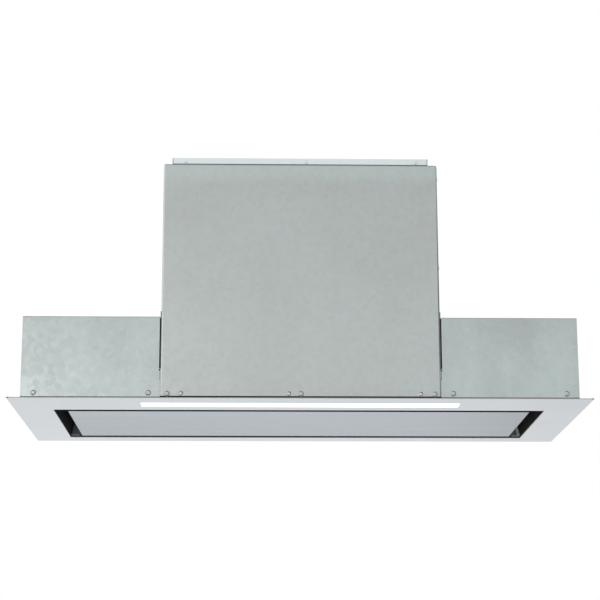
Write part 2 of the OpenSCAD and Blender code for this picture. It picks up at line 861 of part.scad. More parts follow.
// Half of the blower's casing at the right, with its outlet flange and a mounting flange
module blower_casing() {
    color([0.2, 0.2, 0.22]) difference() {
        union() {
            along_x(0, casing_x) polygon(casing_outline(casing_t, plate_z));
            block([0, spigot_y - outlet_hy - casing_flange, plate_z - casing_t],
                  [casing_x + casing_flange, spigot_y + outlet_hy + casing_flange, plate_z]);
        }
        along_x(-cut, casing_x - casing_t) polygon(casing_outline(0, plate_z + cut));
        facing_right(casing_x - casing_t - cut, axis_y, axis_z)
            cylinder(r = inlet_r, h = casing_t + 2 * cut, $fn = 96);
        casing_screw_places() screw_hole(8);
        facing_right(casing_x, axis_y, axis_z) spider_screw_places() screw_hole(12);
    }
}

// Guard over the left inlet, with bars that keep fingers out
module inlet_guard() {
    bar_w = 2.4;
    pitch = 2 * inlet_r / (guard_bars + 1);
    color([0.2, 0.2, 0.22]) mirror([1, 0, 0]) facing_right(casing_x, axis_y, axis_z) difference() {
        union() {
            difference() {
                cylinder(r = spider_r, h = spider_t, $fn = 96);
                translate([0, 0, -cut]) cylinder(r = inlet_r, h = spider_t + 2 * cut, $fn = 96);
            }
            intersection() {
                cylinder(r = inlet_r + cut, h = spider_t, $fn = 96);
                for (i = [1 : guard_bars])
                    translate([-inlet_r - cut, i * pitch - inlet_r - bar_w / 2, 0])
                        cube([2 * inlet_r + 2 * cut, bar_w, spider_t]);
            }
        }
        spider_screw_places() screw_hole(8);
    }
}

// Places its children in the fan wheel's frame, whose +Z is the axis
module on_wheel_axis() {
    translate([0, axis_y, axis_z]) rotate([0, 90, 0]) children();
}

// Blades of the fan wheel, from z0 to z1 along its axis
module blade_row(z0, z1) {
    translate([0, 0, z0]) linear_extrude(z1 - z0)
        for (i = [0 : blades - 1]) rotate(i * 360 / blades)
            polygon([
                [blade_r0, 0], [blade_r0 + blade_depth / 2, 0.38 * blade_lean],
                [blade_r1, blade_lean], [blade_r1, blade_lean + blade_t],
                [blade_r0 + 0.43 * blade_depth, 0.55 * blade_lean], [blade_r0, blade_t]
            ]);
}

// Centre disc and hub of the fan wheel, slotted for the blades
module fan_wheel() {
    color([0.25, 0.25, 0.27]) on_wheel_axis() difference() {
        union() {
            translate([0, 0, -disc_t / 2]) cylinder(r = wheel_r, h = disc_t, $fn = 96);
            translate([0, 0, -hub_left]) cylinder(r = hub_r, h = hub_left + hub_right);
        }
        blade_row(-disc_t, disc_t);
        translate([0, 0, -wheel_x]) cylinder(r = shaft_r, h = 2 * wheel_x);
    }
}

module fan_blades() {
    color([0.25, 0.25, 0.27]) on_wheel_axis() blade_row(-wheel_x + ring_t, wheel_x - ring_t);
}

// End ring on each side of the blades
module fan_rings() {
    color([0.25, 0.25, 0.27]) on_wheel_axis()
        for (z = [-wheel_x, wheel_x - ring_t]) translate([0, 0, z]) difference() {
            cylinder(r = wheel_r, h = ring_t, $fn = 96);
            translate([0, 0, -cut]) cylinder(r = wheel_r - ring_w, h = ring_t + 2 * cut, $fn = 96);
        }
}

module motor_shaft() {
    color([0.8, 0.8, 0.8]) facing_right(-shaft_left, axis_y, axis_z)
        cylinder(r = shaft_r, h = shaft_left + casing_x - shaft_in);
}

// Motor with its two bearing seats
module motor() {
    color([0.55, 0.56, 0.57]) translate([0, axis_y, axis_z]) rotate([0, 90, 0]) difference() {
        union() {
            translate([0, 0, motor_x0 + cone_h])
                cylinder(r = motor_r, h = casing_x - motor_x0 - cone_h, $fn = 96);
            translate([0, 0, motor_x0])
                cylinder(r1 = motor_r - cone_in, r2 = motor_r, h = cone_h, $fn = 96);
        }
        translate([0, 0, motor_x0 - cut]) cylinder(r = bearing_r, h = casing_x);
    }
}

module motor_bearings() {
    color([0.8, 0.8, 0.8]) for (x = [motor_x0, casing_x - bearing_w])
        facing_right(x, axis_y, axis_z) difference() {
            cylinder(r = bearing_r, h = bearing_w);
            translate([0, 0, -cut]) cylinder(r = shaft_r + 0.03, h = bearing_w + 2 * cut);
        }
}

// Three-armed spider that holds the motor in the casing's inlet
module motor_spider() {
    color([0.6, 0.62, 0.62]) facing_right(casing_x, axis_y, axis_z) linear_extrude(spider_t) difference() {
        union() {
            circle(motor_r, $fn = 96);
            for (i = [0 : spider_arms - 1]) rotate(i * 360 / spider_arms)
                translate([bearing_r + 2, -spider_arm_w / 2])
                    square([spider_r - bearing_r - 2, spider_arm_w]);
        }
        circle(bearing_r);
        for (i = [0 : spider_arms - 1]) rotate(i * 360 / spider_arms)
            translate([spider_screw_r, 0]) circle(screw_r + seat_hole);
    }
}

module spider_screw_places() {
    for (i = [0 : spider_arms - 1]) rotate([0, 0, i * 360 / spider_arms])
        translate([spider_screw_r, 0, spider_t]) children();
}

module inlet_screws() {
    color([0.8, 0.8, 0.8]) both_sides() facing_right(casing_x, axis_y, axis_z)
        spider_screw_places() screw(spider_t + casing_t + 1);
}

module run_capacitor() {
    color([0.9, 0.9, 0.88])
        facing_right(-capacitor_x, body_y1 - sheet - capacitor_r, plate_z - capacitor_down) {
        cylinder(r = capacitor_r, h = capacitor_len);
        translate([0, 0, capacitor_len]) cylinder(r = stud_r, h = stud_len);
    }
}

// Duct spigot on a round flange, with a bar and a ledge for the two flaps
module outlet_collar() {
    bore_r = spigot_r - spigot_t;
    color([0.13, 0.13, 0.14]) difference() {
        translate([0, spigot_y, 0]) union() {
            translate([0, 0, plate_top]) difference() {
                union() {
                    cylinder(r = collar_flange_r, h = collar_flange_t, $fn = 96);
                    cylinder(r = spigot_r, h = spigot_h, $fn = 96);
                }
                translate([0, 0, -cut]) cylinder(r = bore_r, h = spigot_h + 2 * cut, $fn = 96);
            }
            translate([0, 0, flap_axis_z - flap_t / 2 - 0.15 - ledge_t]) difference() {
                cylinder(r = bore_r + 0.5, h = ledge_t, $fn = 96);
                translate([0, 0, -cut]) cylinder(r = bore_r - ledge_w, h = ledge_t + 2 * cut, $fn = 96);
            }
            intersection() {
                translate([-bore_r - 0.5, -bar_w / 2, flap_axis_z - flap_knuckle_r - 0.3 - bar_t])
                    cube([2 * bore_r + 1, bar_w, bar_t]);
                translate([0, 0, plate_top]) cylinder(r = bore_r + 0.5, h = spigot_h);
            }
        }
        for (s = [-1, 1]) facing_right(-spigot_r - cut, spigot_y + s * flap_axis_dy, flap_axis_z)
            cylinder(r = flap_pin_r + run_gap, h = 2 * spigot_r + 2 * cut);
        // room for the knuckles where they pass the ledge
        for (s = [-1, 1]) facing_right(-bore_r + 0.6, spigot_y + s * flap_axis_dy, flap_axis_z)
            cylinder(r = flap_knuckle_r + touch_gap, h = 2 * bore_r - 1.2);
        collar_screw_places() translate([0, 0, collar_flange_t]) screw_hole(4);
    }
}

// Half-round flap that hangs on its own pin beside the collar's middle
module flap(s) {
    half = sqrt(flap_r * flap_r - flap_axis_dy * flap_axis_dy) - 0.5;
    color([0.3, 0.3, 0.32]) {
        difference() {
            translate([0, spigot_y, flap_axis_z - flap_t / 2]) cylinder(r = flap_r, h = flap_t, $fn = 96);
            block([-spigot_r, min(spigot_y + s * flap_axis_dy, spigot_y - s * spigot_r), 0],
                  [spigot_r, max(spigot_y + s * flap_axis_dy, spigot_y - s * spigot_r), 2 * cover_top]);
        }
        facing_right(-half, spigot_y + s * flap_axis_dy, flap_axis_z)
            cylinder(r = flap_knuckle_r, h = 2 * half);
        facing_right(-spigot_r + 0.5, spigot_y + s * flap_axis_dy, flap_axis_z)
            cylinder(r = flap_pin_r, h = 2 * spigot_r - 1);
    }
}

module collar_screws() {
    color([0.8, 0.8, 0.8]) collar_screw_places() translate([0, 0, collar_flange_t]) screw(short_screw_len);
}

module casing_screws() {
    color([0.8, 0.8, 0.8]) casing_screw_places() screw(short_screw_len);
}

module cover_screws() {
    color([0.82, 0.84, 0.84]) {
        cover_bottom_places() screw();
        cover_side_places() screw(short_screw_len);
    }
}

module wing_screws() {
    color([0.82, 0.84, 0.84]) wing_places() screw();
}

module rear_screws() {
    color([0.82, 0.84, 0.84]) {
        rear_bottom_places() screw();
        rear_side_places() screw(short_screw_len);
    }
}

module lip_rivets() {
    color([0.82, 0.84, 0.84]) for (x = rivet_x) facing_front(x, lip_y, rivet_z) {
        cylinder(r1 = rivet_r + 1.2, r2 = rivet_r, h = 1);
        translate([0, 0, -2 * sheet]) cylinder(r = rivet_r, h = 2 * sheet);
    }
}

// Control box in the bay beside the funnel
module control_box() {
    color([0.16, 0.16, 0.17]) difference() {
        block([control_x0, control_y, frame_t],
              [control_x1, control_y + control_d, frame_t + control_h]);
        block([control_x0 - cut, control_y + control_wall, frame_t + control_wall],
              [control_x1 - control_wall, control_y + control_d - control_wall,
               frame_t + control_h - control_wall]);
    }
}

module control_box_lid() {
    color([0.2, 0.2, 0.21])
        block([control_x0 - control_lid_t, control_y, frame_t],
              [control_x0, control_y + control_d, frame_t + control_h]);
}

module circuit_board() {
    x1 = control_x1 - control_wall - board_stand;
    color([0.1, 0.35, 0.2]) {
        block([x1 - board_t, control_y + control_wall + 1, frame_t + control_wall + 1],
              [x1, control_y + control_d - control_wall - 1, frame_t + control_h - control_wall - 1]);
        for (y = [control_y + 12, control_y + control_d - 12], z = [10, control_h - 8])
            facing_right(x1, y, frame_t + z) cylinder(r = 2.5, h = board_stand);
    }
}

// Relays and, at the rear, a transformer
module circuit_components() {
    x1 = control_x1 - control_wall - board_stand - board_t;
    color([0.2, 0.25, 0.5]) {
        for (i = [0 : relays - 1])
            translate([x1, control_y + relay_y + relay_pitch * i, frame_t + relay_up])
                block([-relay.x, 0, 0], [0, relay.y, relay.z]);
        translate([x1, control_y + core_y, frame_t + core_up])
            block([-core.x, 0, 0], [0, core.y, core.z]);
    }
}

// Strain relief that the mains lead enters by
module cable_gland() {
    color([0.1, 0.1, 0.1]) translate([gland[0], gland[1], plate_top]) difference() {
        union() {
            cylinder(r = gland_r, h = 4, $fn = 6);
            cylinder(r1 = gland_r * 0.8, r2 = gland_r * 0.65, h = gland_up);
            translate([0, 0, -gland_down]) cylinder(r = gland_r * 0.7, h = gland_down);
            translate([0, 0, -gland_down]) cylinder(r = gland_r, h = gland_down - sheet - 2);
        }
        translate([0, 0, -gland_down - cut]) cylinder(r = cable_r, h = gland_down + gland_up + 2 * cut);
    }
}

bottom_frame();
rim_seal();
at_side(true) wing_casing();  // left_wing_casing
at_side(false) wing_casing();  // right_wing_casing
at_side(true) end_plate();  // left_end_plate
at_side(false) end_plate();  // right_end_plate
at_side(true) box_side();  // left_box_side
at_side(false) box_side();  // right_box_side
rear_panel();
top_plate();
front_cover();
plenum_floor();
suction_funnel();
at_side(true) filter_frame();  // left_filter_frame
at_side(true) filter_mesh();  // left_filter_mesh
at_side(true) filter_catch();  // left_filter_catch
at_side(false) filter_frame();  // right_filter_frame
at_side(false) filter_mesh();  // right_filter_mesh
at_side(false) filter_catch();  // right_filter_catch
light_lens();
light_housing();
led_board();
led_chips();
led_driver();
perimeter_panel();
panel_stiffeners();
panel_strike_plates();
panel_hinge_lugs();
panel_hinge_pins();
catch_magnets();
at_side(true) blower_casing();  // left_blower_casing
at_side(false) blower_casing();  // right_blower_casing
inlet_guard();
fan_wheel();
fan_blades();
fan_rings();
motor_shaft();
motor();
motor_bearings();
motor_spider();
inlet_screws();
run_capacitor();
outlet_collar();
flap(-1);  // front_flap
flap(1);  // rear_flap
collar_screws();
casing_screws();
cover_screws();
wing_screws();
rear_screws();
lip_rivets();
control_box();
control_box_lid();
circuit_board();
circuit_components();
cable_gland();
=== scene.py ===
"""Built-in range hood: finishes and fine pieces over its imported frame, in metres."""

import json
import logging
import math
from collections.abc import Iterable, Iterator
from dataclasses import dataclass, field
from enum import Enum
from random import Random
from typing import ClassVar

import bmesh
import bpy
from bmesh.types import BMesh, BMVert
from bpy.types import Material, Node, NodeSocket, NodeTree
from mathutils import Matrix, Quaternion, Vector


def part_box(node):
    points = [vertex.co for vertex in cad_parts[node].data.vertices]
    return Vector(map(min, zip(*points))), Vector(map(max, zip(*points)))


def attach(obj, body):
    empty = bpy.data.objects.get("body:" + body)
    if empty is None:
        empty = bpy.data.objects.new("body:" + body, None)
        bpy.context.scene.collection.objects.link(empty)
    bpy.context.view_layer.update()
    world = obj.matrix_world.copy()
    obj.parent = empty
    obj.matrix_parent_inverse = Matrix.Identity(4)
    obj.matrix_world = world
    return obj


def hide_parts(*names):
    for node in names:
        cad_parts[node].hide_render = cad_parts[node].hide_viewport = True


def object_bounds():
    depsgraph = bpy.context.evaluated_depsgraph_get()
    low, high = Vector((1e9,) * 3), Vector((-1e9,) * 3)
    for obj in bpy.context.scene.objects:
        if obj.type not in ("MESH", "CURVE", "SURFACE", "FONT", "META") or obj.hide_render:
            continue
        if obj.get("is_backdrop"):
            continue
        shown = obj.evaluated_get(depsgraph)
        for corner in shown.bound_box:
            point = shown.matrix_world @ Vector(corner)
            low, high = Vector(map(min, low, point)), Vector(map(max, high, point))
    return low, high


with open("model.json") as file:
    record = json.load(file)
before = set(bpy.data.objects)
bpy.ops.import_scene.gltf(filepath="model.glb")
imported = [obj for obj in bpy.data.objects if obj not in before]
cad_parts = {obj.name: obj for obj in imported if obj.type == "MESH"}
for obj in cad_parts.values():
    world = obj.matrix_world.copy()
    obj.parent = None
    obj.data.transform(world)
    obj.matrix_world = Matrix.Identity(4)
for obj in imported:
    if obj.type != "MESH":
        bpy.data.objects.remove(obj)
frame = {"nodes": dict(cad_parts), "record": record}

CAD_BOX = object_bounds()
MM = 0.001
WHITE = (1.0, 1.0, 1.0, 1.0)
# how often a wave texture repeats for each unit of its scale
WAVES = 20
LOG = logging.getLogger("hood")

Colour = tuple[float, float, float, float]
Pair = tuple[float, float]
Outline = list[Pair]
Shares = tuple[Pair, ...]


class Body(Enum):
    """The bodies that pieces ride on."""

    HOUSING = "housing"
    FRONT_FLAP = "front_flap"
    REAR_FLAP = "rear_flap"


class Slot(Enum):
    """The record's material slots, one named for each new piece, though nothing reads them."""

    GALVANISED_BOX = "galvanised_box"
    BLACK_FOAM = "black_foam"
    FILTER_MESH = "filter_mesh"
    SCREW_STEEL = "screw_steel"
    BLACK_PLASTIC = "black_plastic"
    FLAP_PLASTIC = "flap_plastic"


class Axis(Enum):
    """A direction that a grain or a strand follows."""

    X = 0
    Y = 1
    Z = 2


# Colours and node trees


def linear(colour: str) -> Colour:
    """Turns an sRGB hex colour to linear light.

    Args:
        colour: The colour, such as "#B3B8B6".

    Returns:
        Its red, green and blue in linear light, and an alpha of 1.
    """
    shares = [int(colour[i : i + 2], 16) / 255 for i in (1, 3, 5)]
    red, green, blue = (s / 12.92 if s <= 0.04045 else ((s + 0.055) / 1.055) ** 2.4 for s in shares)
    return red, green, blue, 1.0


def per_mm(size: float) -> float:
    """Gives the texture scale, in metre space, of a pattern whose repeat is size millimetres."""
    return 1 / (size * MM)


@dataclass
class Surface:
    """The node tree of one material or of the studio's surround."""

    tree: NodeTree

    def add(self, kind: str, inputs: dict[str | int, object] | None = None, **settings: object) -> Node:
        """Adds a node with its settings and links.

        Args:
            kind: The node's type name after "ShaderNode".
            inputs: What each input gets, by name or number, as feed takes it.
            settings: Properties of the node.

        Returns:
            The new node.
        """
        node = self.tree.nodes.new(f"ShaderNode{kind}")
        for name, value in settings.items():
            setattr(node, name, value)
        self.feed(node, inputs or {})
        return node

    def feed(self, node: Node, inputs: dict[str | int, object]) -> None:
        """Sets or links inputs of a node.

        Args:
            node: The node.
            inputs: What each input gets: a value, a socket to link, or a node to link from the first
                output that its settings leave in use.
        """
        for name, value in inputs.items():
            if isinstance(value, Node):
                value = next(output for output in value.outputs if output.enabled)
            if isinstance(value, NodeSocket):
                self.tree.links.new(value, node.inputs[name])
            else:
                node.inputs[name].default_value = value

    def coat(self, inputs: dict[str, object]) -> None:
        """Sets or links inputs of the material's shader."""
        self.feed(self.tree.nodes["Principled BSDF"], inputs)

    def two_tone(
        self,
        pattern: Node | NodeSocket,
        span: Pair,
        shades: tuple[Colour | Node, Colour | Node],
        most: float = 1.0,
        **settings: object,
    ) -> Node:
        """Lets a pattern turn one colour to another.

        Args:
            pattern: The pattern's value.
            span: The value where the first colour ends and the one where the second is reached.
            shades: The two colours.
            most: The largest share of the second colour.
            settings: Properties of the step between them.

        Returns:
            The node of the mixed colour.
        """
        inputs = {"Value": pattern, "From Min": span[0], "From Max": span[1], "To Max": most}
        share = self.add("MapRange", inputs, **settings)
        return self.add("Mix", {0: share, 6: shades[0], 7: shades[1]}, data_type="RGBA")


# Finishes


@dataclass(frozen=True)
class Finish:
    """A surface finish that makes its material when it is first used; sizes are in millimetres."""

    name: str
    colour: str
    roughness: float = 0.5
    metallic: float = 0.0
    specular: float = 0.5

    def material(self) -> Material:
        """Makes the material, or finds it where it has been made.

        Returns:
            The material, named for the finish.
        """
        made = bpy.data.materials.get(self.name)
        if made is not None:
            return made
        made = bpy.data.materials.new(self.name)
        made.use_nodes = True
        made.diffuse_color = linear(self.colour)
        surface = Surface(made.node_tree)
        surface.coat({
            "Base Color": linear(self.colour),
            "Roughness": self.roughness,
            "Metallic": self.metallic,
            "Specular IOR Level": self.specular,
        })
        self.pattern(surface)
        return made

    def pattern(self, on: Surface) -> None:
        """Draws what the making leaves on the surface; a plain finish has nothing."""

    def shade(self, factor: float) -> Colour:
        """Gives the colour in linear light, made paler or darker by a factor."""
        red, green, blue, alpha = linear(self.colour)
        return min(1.0, red * factor), min(1.0, green * factor), min(1.0, blue * factor), alpha

    def lay(
        self,
        on: Surface,
        colour: Node,
        height: Node | NodeSocket,
        depth: float,
        sheen: Node | None = None,
        spread: Pair = (0.0, 0.0),
    ) -> None:
        """Gives the shader its colour, its relief and, where it gets a pattern for it, an uneven gloss.

        Args:
            on: The material's tree.
            colour: The colour.
            height: The pattern that stands out of the surface.
            depth: How far it stands out, in millimetres.
            sheen: The pattern that the gloss follows.
            spread: How far the roughness falls and rises with it.
        """
        relief = on.add("Bump", {"Height": height, "Distance": depth * MM})
        on.coat({"Base Color": colour, "Normal": relief})
        if sheen is not None:
            low, high = self.roughness - spread[0], self.roughness + spread[1]
            on.coat({"Roughness": on.add("MapRange", {"Value": sheen, "To Min": low, "To Max": high})})


@dataclass(frozen=True)
class GalvanisedSheet(Finish):
    """Hot-dip galvanised steel sheet.

    Zinc sets on the sheet in flat crystals, the spangle, each of which leans and shines a little
    differently. The rolled sheet is never quite flat either, which shows as slow waves in its sheen.
    The bends that face up or right carry a painted shade, darker still near the foot. The bends that
    face left carry a painted highlight, and painted light makes the sheet paler towards its foot.
    The press rubs a pale band below the cover's top fold.
    """

    light: str = "#BFC6C5"
    dark: str = "#B0B7B5"
    tones: Pair = (0.32, 0.68)
    spangle: float = 7.0
    # how far the crystals' borders wander, as a share of their size, and how far the crystals lean
    feather: float = 0.35
    lean: float = 0.03
    # how much the crystals, the streaks and the clouds weigh in the colour
    weights: tuple[float, float, float] = (0.06, 0.34, 0.6)
    flow: tuple[float, float, float] = (1.0, 1.0, 0.12)
    streak: float = 45.0
    cloud: float = 140.0
    speck: float = 3.5
    speck_rims: Pair = (0.6, 0.72)
    specks: float = 0.0
    glint: str = "#DDE4E3"
    uneven: float = 0.05
    glance: str = "#8C8C8C"
    frost: float = 1.3
    frost_depth: float = 0.02
    wave: float = 170.0
    wave_depth: float = 0.8
    # the share of its brightness that the painted shade on the bends that face up or right leaves at the
    # top and at the foot, and the heights between which it changes
    shade_kept_top: float = 0.5
    shade_kept_foot: float = 0.2
    shade_from: float = 140.0
    shade_to: float = 320.0
    # how much painted highlight the bends that face left get
    left_bend_highlight: float = 0.0
    # how much paler the painted light makes the foot of the sheet
    foot_light: float = 0.0
    drop: float = 366.0
    band: str = ""
    band_low: float = 36.0
    band_high: float = 12.0

    def pattern(self, on: Surface) -> None:
        """Draws the colour, the gloss and the relief of the zinc.

        Args:
            on: The material's tree.
        """
        places = on.add("TexCoord").outputs
        place = places["Object"]
        # crystal borders are feathery, so the cells are bent by a finer noise
        bend = on.add("TexNoise", {"Vector": place, "Scale": per_mm(self.spangle / 2)}).outputs["Color"]
        reach = (self.feather * self.spangle * MM,) * 3
        bent = on.add("VectorMath", {0: bend, 1: reach, 2: place}, operation="MULTIPLY_ADD")
        cells = on.add("TexVoronoi", {"Vector": bent, "Scale": per_mm(self.spangle)}).outputs["Color"]
        crystal = on.add("SeparateColor", {"Color": cells}).outputs
        zinc = self.zinc(on, place, crystal["Red"])
        # painted shade on the bends that face up or right, a painted highlight on those that face left,
        # painted light at the foot
        kept = self.bend_shade_and_light(on, place, places["Normal"])
        low, high = self.roughness - self.uneven, self.roughness + self.uneven
        centred = on.add("VectorMath", {0: cells, 1: (0.5,) * 3}, operation="SUBTRACT")
        normal = on.add("NewGeometry").outputs["Normal"]
        leant = on.add("VectorMath", {0: centred, 1: (self.lean,) * 3, 2: normal}, operation="MULTIPLY_ADD")
        facet = on.add("VectorMath", {0: leant}, operation="NORMALIZE")
        rolls = on.add("TexNoise", {"Vector": place, "Scale": per_mm(self.wave), "Detail": 1})
        waved = on.add("Bump", {"Height": rolls, "Distance": self.wave_depth * MM, "Normal": facet})
        grains = on.add("TexNoise", {"Vector": place, "Scale": per_mm(self.frost), "Detail": 2})
        frosted = on.add("Bump", {"Height": grains, "Distance": self.frost_depth * MM, "Normal": waved})
        on.coat({
            "Base Color": on.add("VectorMath", {0: zinc, "Scale": kept}, operation="SCALE"),
            "Roughness": on.add("MapRange", {"Value": crystal["Green"], "To Min": low, "To Max": high}),
            # frosted zinc stays dull at a glance, where bare metal turns to a mirror
            "Specular Tint": linear(self.glance),
            "Normal": frosted,
        })

    def zinc(self, on: Surface, place: NodeSocket, crystal: NodeSocket) -> Node:
        """Mixes the colour from the crystals, the streaks of the draining zinc, clouds and specks.

        Args:
            on: The material's tree.
            place: The place on the object, in metres.
            crystal: A value from 0 to 1 that each crystal has for itself.

        Returns:
            The node of the colour.
        """
        along = on.add("Mapping", {"Vector": place, "Scale": self.flow})
        streaks = on.add("TexNoise", {"Vector": along, "Scale": per_mm(self.streak), "Detail": 2})
        clouds = on.add("TexNoise", {"Vector": place, "Scale": per_mm(self.cloud), "Detail": 2})
        layers = on.add("CombineXYZ", {0: crystal, 1: streaks, 2: clouds})
        mixed = on.add("VectorMath", {0: layers, 1: self.weights}, operation="DOT_PRODUCT")
        zinc = on.two_tone(mixed, self.tones, (linear(self.dark), linear(self.light)))
        spots = on.add("TexNoise", {"Vector": place, "Scale": per_mm(self.speck), "Detail": 3})
        zinc = on.two_tone(spots, self.speck_rims, (zinc, linear(self.glint)), self.specks)
        if not self.band:
            return zinc
        height = on.add("SeparateXYZ", {0: place}).outputs["Z"]
        span = ((self.drop - self.band_low) * MM, (self.drop - self.band_high) * MM)
        return on.two_tone(height, span, (zinc, linear(self.band)), interpolation_type="SMOOTHSTEP")

    def bend_shade_and_light(self, on: Surface, place: NodeSocket, facing: NodeSocket) -> Node:
        """Gives the share of its brightness that the painted shade, highlight and light leave on the zinc.

        Args:
            on: The material's tree.
            place: The place on the object, in metres.
            facing: The direction that the surface faces in the object's own axes.

        Returns:
            The node of the share.
        """
        height = on.add("SeparateXYZ", {0: place}).outputs["Z"]
        parts = on.add("SeparateXYZ", {0: facing}).outputs
        # each pair is how far a face has turned where the effect sets in and where it is full
        starts, ends = {"From Min": 0.05, "From Max": 0.45}, {"From Min": 0.999, "From Max": 0.98}
        flat_left, left_bend = {"From Min": -0.95, "From Max": -0.99}, {"From Min": -0.1, "From Max": -0.5}
        # the painted shade lies on a bend, which begins where a face turns up or right and ends where it
        # faces straight up or right
        turned = on.add("Math", {0: parts["X"], 1: parts["Z"]}, operation="ADD")
        most = on.add("Math", {0: parts["X"], 1: parts["Z"]}, operation="MAXIMUM")
        entering = on.add("MapRange", {"Value": turned, **starts})
        leaving = on.add("MapRange", {"Value": most, **ends})
        along = on.add("Math", {0: entering, 1: leaving}, operation="MULTIPLY")
        # the painted shade is darker towards the foot
        span = {"From Min": self.shade_from * MM, "From Max": self.shade_to * MM}
        kept = {"To Min": self.shade_kept_foot, "To Max": self.shade_kept_top}
        least = on.add("MapRange", {"Value": height, **span, **kept})
        dull = on.add("MapRange", {"Value": along, "To Min": 1.0, "To Max": least})
        # the painted highlight lies on the bends that turn left, but a face that looks straight left isn't
        # a bend
        left = on.add("MapRange", {"Value": parts["X"], **flat_left})
        left_highlight_share = on.add("MapRange", {"Value": turned, **left_bend, "To Max": self.left_bend_highlight})
        bright = on.add("MapRange", {"Value": left, "To Min": left_highlight_share, "To Max": 0.0})
        # painted light: the sheet grows paler towards its foot
        pale = {"To Min": 1 + self.foot_light, "To Max": 1.0}
        foot = on.add("MapRange", {"Value": height, "From Max": self.drop * MM, **pale})
        return on.add("Math", {0: dull, 1: foot, 2: bright}, operation="MULTIPLY_ADD")


@dataclass(frozen=True)
class PowderCoat(Finish):
    """Powder-coated or enamelled steel, baked to a skin with a fine orange peel and faint flecks.

    The frame's front edge carries a painted shade, and its two front tips a darker painted shade.
    """

    fleck: float = 1.1
    fleck_gain: float = 1.05
    cloud: float = 120.0
    cloud_least: float = 0.97
    sheen: float = 14.0
    peel: float = 1.8
    peel_depth: float = 0.02
    # the size of the painted shade at the two front tips, how far its outline wanders, the width of its
    # border, and the colours of the painted shade on the front edge and at the tips
    shaded_tip_size: float = 0.0
    ragged: float = 1.5
    shaded_tip_border: float = 0.4
    front_edge_shade: str = "#ABABA8"
    tip_shade_colour: str = "#5E5A58"

    def pattern(self, on: Surface) -> None:
        """Draws the flecks, the orange peel and the painted shade on the front edge and tips.

        Args:
            on: The material's tree.
        """
        places = on.add("TexCoord").outputs
        place = places["Object"]
        grains = on.add("TexNoise", {"Vector": place, "Scale": per_mm(self.fleck), "Detail": 3})
        paint = on.two_tone(grains, (0.42, 0.62), (self.shade(1), self.shade(self.fleck_gain)))
        clouds = on.add("TexNoise", {"Vector": place, "Scale": per_mm(self.cloud), "Detail": 2})
        span = {"From Min": 0.3, "From Max": 0.7}
        depth = on.add("MapRange", {"Value": clouds, **span, "To Min": self.cloud_least})
        colour = on.add("VectorMath", {0: paint, "Scale": depth}, operation="SCALE")
        # painted shade on the frame's front edge and at its two front tips
        if self.shaded_tip_size:
            colour = self.paint_edge_and_tip_shade(on, places, grains, colour)
        sheen = on.add("TexNoise", {"Vector": place, "Scale": per_mm(self.sheen), "Detail": 2})
        bumps = on.add("TexNoise", {"Vector": place, "Scale": per_mm(self.peel), "Detail": 2})
        self.lay(on, colour, bumps, self.peel_depth, sheen, spread=(0.06, 0.08))

    def paint_edge_and_tip_shade(self, on: Surface, places: dict[str, NodeSocket], grains: Node, paint: Node) -> Node:
        """Paints shade on the frame's front edge, and darker shade on its two front tips.

        Args:
            on: The material's tree.
            places: The coordinates of a place, with the direction that the surface faces.
            grains: The fine noise that the shaded tips' outline follows.
            paint: The colour of the paint.

        Returns:
            The node of the colour of paint with its painted shade.
        """
        facing = on.add("SeparateXYZ", {0: places["Normal"]}).outputs["Y"]
        # painted shade on the faces that look forward
        thin = on.two_tone(facing, (-0.5, -0.9), (paint, linear(self.front_edge_shade)))
        # a darker painted shade at the two front tips, along a wandering outline
        low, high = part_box("bottom_frame")
        parts = on.add("SeparateXYZ", {0: places["Object"]}).outputs
        outward = on.add("Math", {0: parts["X"]}, operation="ABSOLUTE")
        diagonal = on.add("Math", {0: outward, 1: parts["Y"]}, operation="SUBTRACT")
        outline = on.add("Math", {0: grains, 1: self.ragged * MM, 2: diagonal}, operation="MULTIPLY_ADD")
        # the noise is about a half, so half of its reach is taken off the shaded tip's
        edge = high.x - low.y - (self.shaded_tip_size - self.ragged / 2) * MM
        return on.two_tone(outline, (edge, edge + self.shaded_tip_border * MM), (thin, linear(self.tip_shade_colour)))


@dataclass(frozen=True)
class BrushedMetal(Finish):
    """Metal that a belt, a roll, a stone or a shear has marked with fine parallel scratches.

    The scratches break the reflection up along the grain. The real ones are 0.1 mm apart; they are
    drawn 0.4 to 0.9 mm apart so that they show. The folds along X can carry a dark painted shade and
    reflection.
    """

    grain: Axis = Axis.X
    scratch: float = 0.9
    run: float = 70.0
    depth: float = 0.006
    contrast: float = 0.06
    # how many scratches a broad band is wide
    band: float = 9
    # the colour of the painted shade and dark reflection on the folds along X
    rim: str = ""

    def pattern(self, on: Surface) -> None:
        """Draws the scratches, long ones over short ones, and the painted shade on the folds.

        Args:
            on: The material's tree.
        """
        stretch = [1.0, 1.0, 1.0]
        stretch[self.grain.value] = self.scratch / self.run
        places = on.add("TexCoord").outputs
        place = on.add("Mapping", {"Vector": places["Object"], "Scale": stretch})
        scratches = on.add("TexNoise", {"Vector": place, "Scale": per_mm(self.scratch), "Detail": 4})
        width = self.scratch * self.band
        bands = on.add("TexNoise", {"Vector": place, "Scale": per_mm(width), "Detail": 2})
        both = on.add("Math", {0: scratches, 1: bands}, operation="MULTIPLY")
        shades = (self.shade(1 - self.contrast), self.shade(1 + self.contrast))
        metal = on.two_tone(both, (0.15, 0.35), shades)
        # painted shade and dark reflection on the folds that face forward or back
        if self.rim:
            across = on.add("SeparateXYZ", {0: places["Normal"]}).outputs["Y"]
            steep = on.add("Math", {0: across}, operation="ABSOLUTE")
            metal = on.two_tone(steep, (0.1, 0.3), (metal, linear(self.rim)))
        self.lay(on, metal, scratches, self.depth, scratches, spread=(0.1, 0.12))


